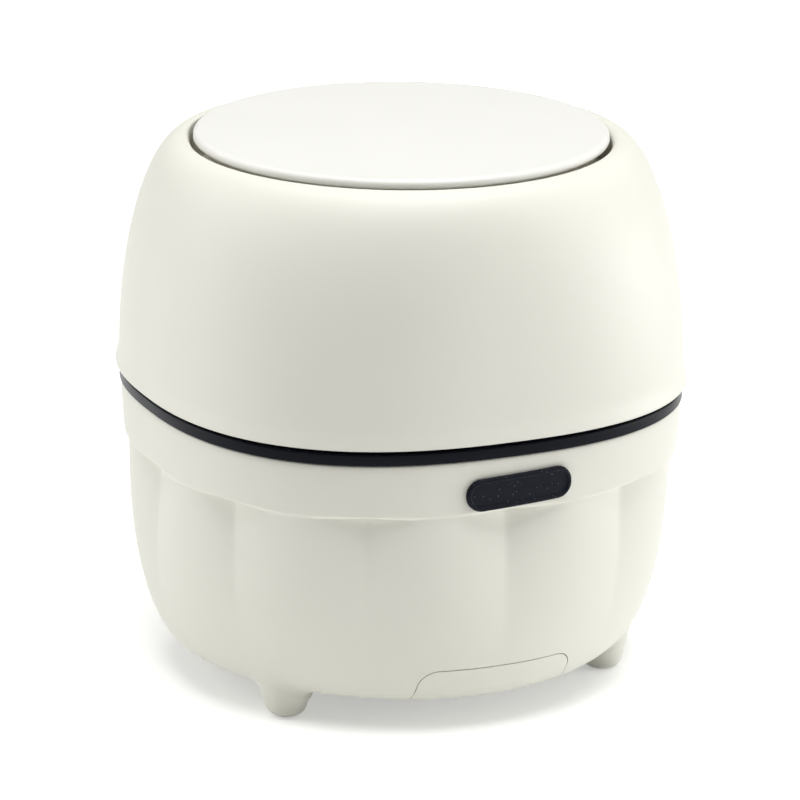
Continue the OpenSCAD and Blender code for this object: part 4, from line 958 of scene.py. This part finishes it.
# %% Bosses and the hinge slot
slot_half, slot_front, slot_back, slot_drop = 19.2, 55, 71.7, 5.8
boss_circle_r, boss_r, boss_h, boss_hole_h = 74.3, 3.2, 5.5, 4.9
cover_bosses = [(boss_circle_r * cosd(t), boss_circle_r * sind(t)) for t in range(-60, 241, 60)]
for spot in cover_bosses:
    boss = pillar("cover_boss", spot, boss_r, recess_z, recess_z + boss_h)
    dome = boolean(dome, boss, "UNION")
    boss_hole = pillar("cover_hole", spot, screw_r + screw_play, recess_z - 1, recess_z + boss_hole_h)
    dome = boolean(dome, boss_hole, "DIFFERENCE")
slot_top = recess_z + recess_h - slot_drop
hinge_slot = block("hinge_slot", (-slot_half, slot_front, recess_z - 1), (slot_half, slot_back, slot_top))
dome = boolean(dome, hinge_slot, "DIFFERENCE")
smooth(dome)
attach(dome, "cover")
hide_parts("upper_cover")
print("cover faces:", len(dome.data.polygons))

# %% [markdown]
# ## The dark ring and the bucket
# The ring shows a narrow face with a rounded top edge, then a land, and then the
# spigot that stands dark behind the gap under the cover. The bucket hangs inside.

# %% Turn the ring
ring_z, ring_wall, ring_edge, skirt_h, spigot_t = rim_z + rest_gap, 1.9, 0.5, 8, 2.4
bucket_top, bucket_low, bucket_wall, bucket_round = 82.4, 71.0, 1.5, 8
bucket_flange, bucket_flange_t = 3.2, 1.6
bucket_z, flange_z = foot_h + 16.0, rim_z + rest_gap


def bucket_half(z):
    """Half width of the bucket's tapered side at a height."""
    share = (z - bucket_z - bucket_round) / (flange_z - bucket_z - bucket_round)
    return bucket_low + (bucket_top - bucket_low) * share


def ring_profile():
    web_z = flange_z + bucket_flange_t + rest_gap
    low_z = web_z - skirt_h
    top_out = bucket_half(flange_z) - bucket_wall - slide_gap
    low_out = bucket_half(low_z) - bucket_wall - slide_gap
    rows = [(ring_half - 0.15, ring_z), (ring_half, ring_z + 0.15), (ring_half, land_z - ring_edge)]
    for t in (22, 45, 68, 90):
        rows.append((ring_half - ring_edge * (1 - cosd(t)), land_z - ring_edge * (1 - sind(t))))
    rows += [(spigot_out + 0.3, land_z), (spigot_out, land_z + 0.3), (spigot_out, spigot_z - 0.3),
             (spigot_out - 0.3, spigot_z), (spigot_out - 2.1, spigot_z),
             (spigot_out - spigot_t, spigot_z - 0.3), (spigot_out - spigot_t, spigot_z - 1.0)]
    rows += [(top_out - 1.4, web_z + 1.4), (low_out - 1.4, low_z + 0.3), (low_out - 1.1, low_z),
             (low_out - 0.3, low_z), (low_out, low_z + 0.3), (top_out, web_z)]
    rows += [(ring_half - ring_wall, web_z), (ring_half - ring_wall, ring_z)]
    return [(a, z, waist_power, 0) for a, z in rows]


ring = smooth(squared_shell("bag_ring_shell", ring_profile(), True, ring_navy))
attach(ring, "ring")
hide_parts("bag_ring")


# %% Turn the bucket
def bucket_profile():
    mid, high = (bucket_z + flange_z) / 2, rim_z - collar_h / 2
    side_z, flat = bucket_z + bucket_round, bucket_low - bucket_round
    inside_low, inside_top = bucket_low - bucket_wall, bucket_top - bucket_wall
    lip, lip_top = bucket_top + bucket_flange, flange_z + bucket_flange_t
    outer = []
    for i in range(11):
        outer.append(rounding(bucket_low, side_z, flat, bucket_z, 2, math.pi / 2 * (1 - i / 10)))
    outer += [(bucket_half(z), z) for z in (mid, high, flange_z)]
    outer += [(lip - 0.2, flange_z), (lip, flange_z + 0.2), (lip, flange_z + 1.4), (lip - 0.2, lip_top),
              (inside_top + 0.3, lip_top), (inside_top, flange_z + 1.3)]
    inner = [(bucket_half(z) - bucket_wall, z) for z in (high, mid)]
    for i in range(11):
        inner.append(rounding(inside_low, side_z, flat, bucket_z + bucket_wall, 2, math.pi / 2 * i / 10))
    return [(a, z, body_power(z), 0) for a, z in outer + inner]


bucket = smooth(squared_shell("bucket_shell", bucket_profile(), False, plain_inner))
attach(bucket, "bucket")
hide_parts("inner_bucket")

# %% [markdown]
# ## The lid
# The lid is a low crowned disc with a rolled edge that is cut back underneath, so
# it can swing past the mouth. It is turned finely because its edge catches light.

# %% Turn the lid
lid_r, lid_proud, lid_edge_h, lid_crown, lid_round = 67.0, 2.3, 3.4, 0.5, 1.7
lid_z = mouth_z + lid_proud - lid_edge_h
lid_edge_z = lid_z + lid_edge_h
under_z = mouth_z - 0.1
flat_r = lid_r - lid_round
edge_rows = []
for t in range(90, 0, -9):
    edge_rows.append((lid_r - lid_round * (1 - sind(t)), lid_edge_z - lid_round * (1 - cosd(t))))
top_rows = [(flat_r * i / 40, lid_edge_z + lid_crown * (1 - (i / 40) ** 2)) for i in range(40, 0, -1)]
wall_rows = [(0, under_z), (lid_r - 2.6, under_z), (lid_r - 2.6, lid_z + 0.1), (lid_r - 2.5, lid_z)]
foot_of_wall = ((1.6, 0), (1.4, 0.1), (0.7, 0.35), (0.15, 0.75), (0, 1.0))
wall_rows += [(lid_r - inset, lid_z + rise) for inset, rise in foot_of_wall]
lid_rows = wall_rows + edge_rows + top_rows + [(0, lid_edge_z + lid_crown)]
lid = lathe("round_lid", lid_rows, 288)
lid.data.materials.append(cream_lid)
lid_screw_xy, lid_boss_r = 29, 3
lid_bosses = [(sx * lid_screw_xy, sy * lid_screw_xy) for sx in (-1, 1) for sy in (-1, 1)]
for spot in lid_bosses:
    boss = pillar("lid_boss", spot, lid_boss_r, under_z - 2.7, under_z + 0.5)
    lid = boolean(lid, boss, "UNION")
    boss_hole = pillar("lid_hole", spot, screw_r + screw_play, under_z - 3.5, under_z + 0.2)
    lid = boolean(lid, boss_hole, "DIFFERENCE")
smooth(lid)
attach(lid, "lid")
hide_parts("lid_disc")
print("lid faces:", len(lid.data.polygons))

# %% [markdown]
# ## The badge
# The badge is a bare plate of dark rubber: a rounded bar with a raised border round
# a sunk field, bowed to follow the collar. Its surface is a stack of outlines, each
# moved in a little further and set at its own depth, then bent round the bowl.

# %% Sizes and outline of the badge
badge_w, badge_h, badge_r, badge_t = 36.0, 10.4, 5.0, 1.7
badge_x, badge_tilt, badge_drop = 2.2, math.radians(2.3), 10.7
badge_sink, badge_border, badge_back = 0.6, 1.3, rim_half + 0.1


def badge_outline(inset, corner=12, along=26, upright=3):
    """Points round the badge's edge, moved in by an inset; their count stays the same."""
    half_w, half_h, r = badge_w / 2 - inset, badge_h / 2 - inset, max(0.02, badge_r - inset)
    run_w, run_h = half_w - r, half_h - r
    corners = []
    for sx, sz, start in ((1, 1, 0), (-1, 1, 90), (-1, -1, 180), (1, -1, 270)):
        arc = [math.radians(start + 90 * i / corner) for i in range(corner + 1)]
        corners.append([(sx * run_w + r * math.cos(t), sz * run_h + r * math.sin(t)) for t in arc])
    points = []
    for k, arc in enumerate(corners):
        points += arc
        (x0, z0), (x1, z1) = arc[-1], corners[(k + 1) % 4][0]
        fill = along if k % 2 == 0 else upright
        points += [(x0 + (x1 - x0) * i / fill, z0 + (z1 - z0) * i / fill) for i in range(1, fill)]
    return points


def badge_point(u, v, depth):
    """Turns a point of the flat badge in its plane and bends it round the collar."""
    x = badge_x + u * math.cos(badge_tilt) - v * math.sin(badge_tilt)
    z = rim_z - badge_drop + u * math.sin(badge_tilt) + v * math.cos(badge_tilt)
    return (x * MM, -front_of(x, badge_back + depth, waist_power) * MM, z * MM)


# %% Raise the badge
face = badge_t - badge_sink
steps_in = [(4.9, 0.0), (3.4, 0.0), (1.6, 0.0), (0.25, 0.0), (0.0, 0.2)]
border = ((0.0, 0.75), (0.06, 0.45), (0.2, 0.22), (0.42, 0.07), (0.66, 0), (0.95, 0), (1.12, 0.04),
          (1.26, 0.16))
steps_in += [(inset, badge_t - down) for inset, down in border]
steps_in += [(1.36, face + 0.16), (1.5, face + 0.04)]
steps_in += [(inset, face) for inset in (1.72, 2.4, 3.3, 4.2, 4.9)]
badge_points, badge_faces = [], []
for inset, depth in steps_in:
    outline = badge_outline(inset)
    badge_points += [badge_point(u, v, depth) for u, v in outline]
loop = len(outline)
for i in range(len(steps_in) - 1):
    for j in range(loop):
        k = (j + 1) % loop
        badge_faces.append((i * loop + j, i * loop + k, (i + 1) * loop + k, (i + 1) * loop + j))
badge_faces.append(tuple(range(loop - 1, -1, -1)))
badge_faces.append(tuple((len(steps_in) - 1) * loop + j for j in range(loop)))
badge_mesh = bpy.data.meshes.new("badge_plate")
badge_mesh.from_pydata(badge_points, [], badge_faces)
badge_plate = new_piece("badge_plate", badge_mesh)
badge_mesh.materials.append(badge_rubber)
peg_x, peg_r = 11, 1.2
for x in (-peg_x, peg_x):
    peg = pillar("badge_peg", (0, 0), peg_r, 0, badge_back - body_half + body_wall + 0.6)
    foot_of_peg = badge_point(x, 0, 0.3)
    peg.data.transform(Matrix.Translation(foot_of_peg) @ Matrix.Rotation(math.radians(-90), 4, "X"))
    badge_plate = boolean(badge_plate, peg, "UNION")
smooth(badge_plate, 40)
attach(badge_plate, "base")
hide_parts("badge")
print("badge faces:", len(badge_plate.data.polygons))

# %% [markdown]
# ## Screws with a cross recess
# Every fastener is the same pan-head screw: a domed head with a cross recess, a
# rolled thread and a point. One screw is turned and cut, and the copying tree sets
# it at each place of a node.

# %% Make one screw
head_r, head_t, washer_r = 2.4, 1.3, 4.2


def thread(length, core, turns_mm=0.8, segments=24):
    """A shank whose radius follows a helix, closed at both ends, from z = 0 down."""
    rows = int(length / turns_mm * 8)
    points, faces = [(0, 0, 0.02 * MM)], []
    for i in range(rows + 1):
        z = -length * i / rows
        taper = min(1.0, (length + z) / 1.2 * 0.7 + 0.3)
        for j in range(segments):
            wave = 0.5 + 0.5 * math.cos(2 * math.pi * (-z / turns_mm + j / segments))
            r = (core + (screw_r - core) * wave ** 2) * taper if z < -0.5 else screw_r - 0.1
            t = 2 * math.pi * j / segments
            points.append((r * MM * math.cos(t), r * MM * math.sin(t), z * MM))
    points.append((0, 0, -length * MM))
    last = len(points) - 1
    for j in range(segments):
        k = (j + 1) % segments
        faces.append((0, 1 + j, 1 + k))
        for i in range(rows):
            a, b = 1 + i * segments, 1 + (i + 1) * segments
            faces.append((a + j, b + j, b + k, a + k))
        end_ring = 1 + rows * segments
        faces.append((end_ring + k, end_ring + j, last))
    mesh = bpy.data.meshes.new("thread")
    mesh.from_pydata(points, [], faces)
    return new_piece("thread", mesh)


def screw(length, washer=0.0):
    """A screw with its head standing on z = 0; with a washer, the head stands on that."""
    dome = [(head_r * cosd(t), washer + head_t * 0.35 + head_t * 0.65 * sind(t)) for t in range(0, 90, 9)]
    if washer:
        rim = [(0, 0), (washer_r - 0.1, 0), (washer_r, 0.1), (washer_r, washer - 0.1),
               (washer_r - 0.1, washer), (head_r, washer)]
    else:
        rim = [(0, 0), (head_r - 0.15, 0), (head_r - 0.1, 0.1)]
    piece = lathe("screw", rim + dome + [(0, washer + head_t)], 48)
    for turned_by in (0, 90):
        slot = block("recess", (-1.25, -0.3, washer + head_t - 0.85), (1.25, 0.3, washer + head_t + 1))
        slot.data.transform(Matrix.Rotation(math.radians(turned_by), 4, "Z"))
        piece = boolean(piece, slot, "DIFFERENCE")
    piece = boolean(piece, thread(length, 0.92), "UNION")
    return smooth(piece, 40)


# %% A tree that copies a piece onto points
copies, copy_in, copy_out = geometry_tree(
    "copies_on_points", [("Piece", "NodeSocketObject", None), ("Finish", "NodeSocketMaterial", None)])
source = copies.nodes.new("GeometryNodeObjectInfo")
source.transform_space = "ORIGINAL"
link(copies, copy_in.outputs["Piece"], source.inputs["Object"])
aim = copies.nodes.new("GeometryNodeInputNamedAttribute")
aim.data_type = "FLOAT_VECTOR"
aim.inputs["Name"].default_value = "turn"
scatter = copies.nodes.new("GeometryNodeInstanceOnPoints")
link(copies, copy_in.outputs["Geometry"], scatter.inputs["Points"])
link(copies, source.outputs["Geometry"], scatter.inputs["Instance"])
link(copies, aim.outputs["Attribute"], scatter.inputs["Rotation"])
real = copies.nodes.new("GeometryNodeRealizeInstances")
link(copies, scatter.outputs[0], real.inputs[0])
dress = copies.nodes.new("GeometryNodeSetMaterial")
link(copies, real.outputs[0], dress.inputs["Geometry"])
link(copies, copy_in.outputs["Finish"], dress.inputs["Material"])
link(copies, dress.outputs[0], copy_out.inputs[0])


def copied(name, piece, places, finish):
    """Copies of a piece at places (x, y, z in millimetres, and turns about X, Y and Z in degrees)."""
    mesh = bpy.data.meshes.new(name)
    mesh.from_pydata([tuple(c * MM for c in p[:3]) for p in places], [], [])
    turns = [math.radians(a) for p in places for a in (tuple(p[3:]) + (0, 0, 0))[:3]]
    mesh.attributes.new("turn", "FLOAT_VECTOR", "POINT").data.foreach_set("vector", turns)
    group = run_tree(new_piece(name, mesh), copies, Piece=piece, Finish=finish)
    if "turn" in group.data.attributes:
        group.data.attributes.remove(group.data.attributes["turn"])
    return group


# %% Set the screws
plate_t, bracket_t, lid_plate_t = 2.4, 1.8, 2.5
plate_z = recess_z - plate_t
bracket_z = plate_z - rest_gap - bracket_t
bracket_x, bracket_ys = slot_half + 4, (54.3, 62.3)
latch_y, latch_screw_x = -62.8, 10.6
tray_y = -drawer_y - drawer_seam + rest_gap
lid_plate_z = under_z - rest_gap - lid_plate_t
housing_tab_z = floor_boss_z + rest_gap + housing_wall
screw_sets = {
    "housing_screws": ("base", 5.8, 0.0, [(x, y, housing_tab_z) for x, y in boss_places]),
    "drawer_screws": ("drawer", 4.4, 0.0, [
        (x, tray_y + tray_wall, drawer_screw_z, -90) for x in (-drawer_screw_x, drawer_screw_x)]),
    "mouth_screws": ("cover", 6.7, 0.0, [(x, y, plate_z, 180) for x, y in cover_bosses]),
    "bracket_screws": ("cover", 6.2, 0.0, [
        (x, y, bracket_z, 180) for x in (-bracket_x, bracket_x) for y in bracket_ys]),
    "latch_screws": ("cover", 6.2, 0.0, [
        (x, latch_y, bracket_z, 180) for x in (-latch_screw_x, latch_screw_x)]),
    "lid_screws": ("lid", 2.7, 0.6, [(x, y, lid_plate_z - rest_gap, 180) for x, y in lid_bosses]),
}
for node_name, (body, length, washer, places) in screw_sets.items():
    one = screw(length - 0.02, washer)
    group = copied(node_name + "_set", one, places, zinc_steel)
    bpy.data.objects.remove(one)
    smooth(group, 40)
    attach(group, body)
    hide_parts(node_name)
    print(node_name, "faces:", len(group.data.polygons))

# %% [markdown]
# ## Springs as wire along a path
# A spring is a path with a round wire swept along it. A second tree does this for
# any path: it makes a curve of the path's edges, gives it a round section, closes
# the ends, and sets the finish. The latch's spring shortens as its jaw is pressed.

# %% The tree that sweeps a wire
sweep, sweep_in, sweep_out = geometry_tree(
    "wire_on_a_path",
    [("Wire Radius", "NodeSocketFloat", 0.0004), ("Sides", "NodeSocketInt", 16),
     ("Finish", "NodeSocketMaterial", None)])
spine = sweep.nodes.new("GeometryNodeMeshToCurve")
link(sweep, sweep_in.outputs["Geometry"], spine.inputs["Mesh"])
section = sweep.nodes.new("GeometryNodeCurvePrimitiveCircle")
link(sweep, sweep_in.outputs["Sides"], section.inputs["Resolution"])
link(sweep, sweep_in.outputs["Wire Radius"], section.inputs["Radius"])
tube = sweep.nodes.new("GeometryNodeCurveToMesh")
tube.inputs["Fill Caps"].default_value = True
link(sweep, spine.outputs["Curve"], tube.inputs["Curve"])
link(sweep, section.outputs["Curve"], tube.inputs["Profile Curve"])
whole = sweep.nodes.new("GeometryNodeRealizeInstances")
link(sweep, tube.outputs[0], whole.inputs[0])
steel_on = sweep.nodes.new("GeometryNodeSetMaterial")
link(sweep, whole.outputs[0], steel_on.inputs["Geometry"])
link(sweep, sweep_in.outputs["Finish"], steel_on.inputs["Material"])
link(sweep, steel_on.outputs[0], sweep_out.inputs[0])


def wire(name, path, radius, body, node_name):
    mesh = bpy.data.meshes.new(name)
    edges = [(i, i + 1) for i in range(len(path) - 1)]
    mesh.from_pydata([tuple(c * MM for c in p) for p in path], edges, [])
    piece = run_tree(new_piece(name, mesh), sweep, Wire_Radius=radius * MM, Sides=16, Finish=spring_steel)
    smooth(piece, 50)
    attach(piece, body)
    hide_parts(node_name)
    print(name, "faces:", len(piece.data.polygons))
    return piece


# %% Wind the springs
hinge_y, hinge_z, hinge_wire_r = 72.5, mouth_z - 13.6, 0.395
spring_r, spring_pitch, spring_turns, arm_x, arm_w = 2.9, 1.3, 4, 11.5, 5.0
arm_deg = math.degrees(math.atan2(5.2, 7.4))
coil_start, coil_end = 180.0, arm_deg + 270 - 360 * (spring_turns + 1)
spring_x0 = arm_x - arm_w / 2 - 1.3 - (spring_turns + 0.65) * spring_pitch
coil = []
for i in range(141):
    t = math.radians(coil_start + (coil_end - coil_start) * i / 140)
    wound = (coil_start - coil_end) / 360 * spring_pitch * i / 140
    coil.append((spring_x0 + wound, hinge_y + spring_r * math.cos(t), hinge_z + spring_r * math.sin(t)))
first, last = coil[0], coil[-1]
along_y, along_z = -cosd(arm_deg), -sind(arm_deg)
leg = [(first[0], first[1], first[2] - 11.2 + i * 0.8) for i in range(14)]
lever = []
for side, d in ((0, 1.0), (0, 2.0), (0, 3.4), (0, 5.0), (0, 6.0), (0.25, 6.5), (0.8, 6.8), (3.4, 6.8)):
    lever.append((last[0] + side, last[1] + along_y * d, last[2] + along_z * d))
right_path = leg + coil + lever
wire("hinge_spring_right", right_path, hinge_wire_r, "cover", "spring_right")
wire("hinge_spring_left", [(-x, y, z) for x, y, z in right_path], hinge_wire_r, "cover", "spring_left")

# %% Wind the latch's spring
case_h, case_wall, head_drop, head_h, jaw_gap, jaw_block_h, jaw_travel = 16, 1.2, 2, 2.1, 2.5, 3, 2.2
latch_coil_r, latch_turns, latch_wire_r = 2.79, 3, 0.345
low = plate_z - rest_gap - case_h + case_wall + 0.4
high = plate_z - head_drop - head_h - jaw_gap - jaw_block_h - 0.4
latch_path = []
for i in range(97):
    t = 2 * math.pi * latch_turns * i / 96
    x, y = latch_coil_r * math.cos(t), latch_y + latch_coil_r * math.sin(t)
    latch_path.append((x, y, low + (high - low) * i / 96))
latch_coil = wire("latch_coil", latch_path, latch_wire_r, "cover", "latch_spring")
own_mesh(latch_coil)

# %% [markdown]
# ## Softened edges on the moulded parts inside
# No moulded edge is a knife edge. The inner parts keep the CAD's shape, so a copy of
# each mesh is welded, its flat faces are joined, and a small round is cut on every
# sharp edge. Weighted normals keep the large faces level beside the small rounds.
# The copy takes the node's place.

# %% A softened copy of a CAD node
def softened(node_name, round_mm, finish, angle=32, segments=2):
    original = nodes[node_name]
    mesh = bpy.data.meshes.new(node_name + "_soft")
    bm = bmesh.new()
    bm.from_mesh(original.data)
    bm.transform(original.matrix_world)
    bmesh.ops.remove_doubles(bm, verts=bm.verts, dist=0.00002)
    bmesh.ops.dissolve_limit(bm, angle_limit=math.radians(0.6), verts=bm.verts, edges=bm.edges)
    sharp = [e for e in bm.edges if len(e.link_faces) == 2 and e.calc_face_angle(0) > math.radians(angle)]
    bmesh.ops.bevel(bm, geom=sharp, offset=round_mm * MM, segments=segments, profile=0.5,
                    affect="EDGES", clamp_overlap=True)
    bmesh.ops.recalc_face_normals(bm, faces=bm.faces)
    bm.to_mesh(mesh)
    bm.free()
    piece = new_piece(node_name + "_soft", mesh)
    mesh.materials.append(finishes[finish])
    smooth(piece, 50)
    level = piece.modifiers.new("level", "WEIGHTED_NORMAL")
    level.weight = 100
    level.keep_sharp = True
    bpy.context.view_layer.update()
    mesh = bpy.data.meshes.new_from_object(piece.evaluated_get(bpy.context.evaluated_depsgraph_get()))
    piece.modifiers.clear()
    piece.data = mesh
    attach(piece, body_of[node_name])
    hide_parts(node_name)
    print(node_name, "softened, faces:", len(mesh.polygons))
    return piece


body_of = {name: body for body, names in frame["record"]["behaviour"]["bodies"].items() for name in names}

# %% Soften the inner parts
rounds_mm = {
    "mouth_ring": 0.25, "lid_plate": 0.3, "drawer_tray": 0.3, "drawer_housing": 0.25,
    "hinge_bracket": 0.25, "latch_case": 0.2, "latch_jaw": 0.15, "latch_striker": 0.15,
    "foot_pads": 0.3, "lid_bumpers": 0.3, "hinge_pin": 0.3, "pin_clips": 0.08,
}
for node_name, round_mm in rounds_mm.items():
    softened(node_name, round_mm, slot_of[node_name])
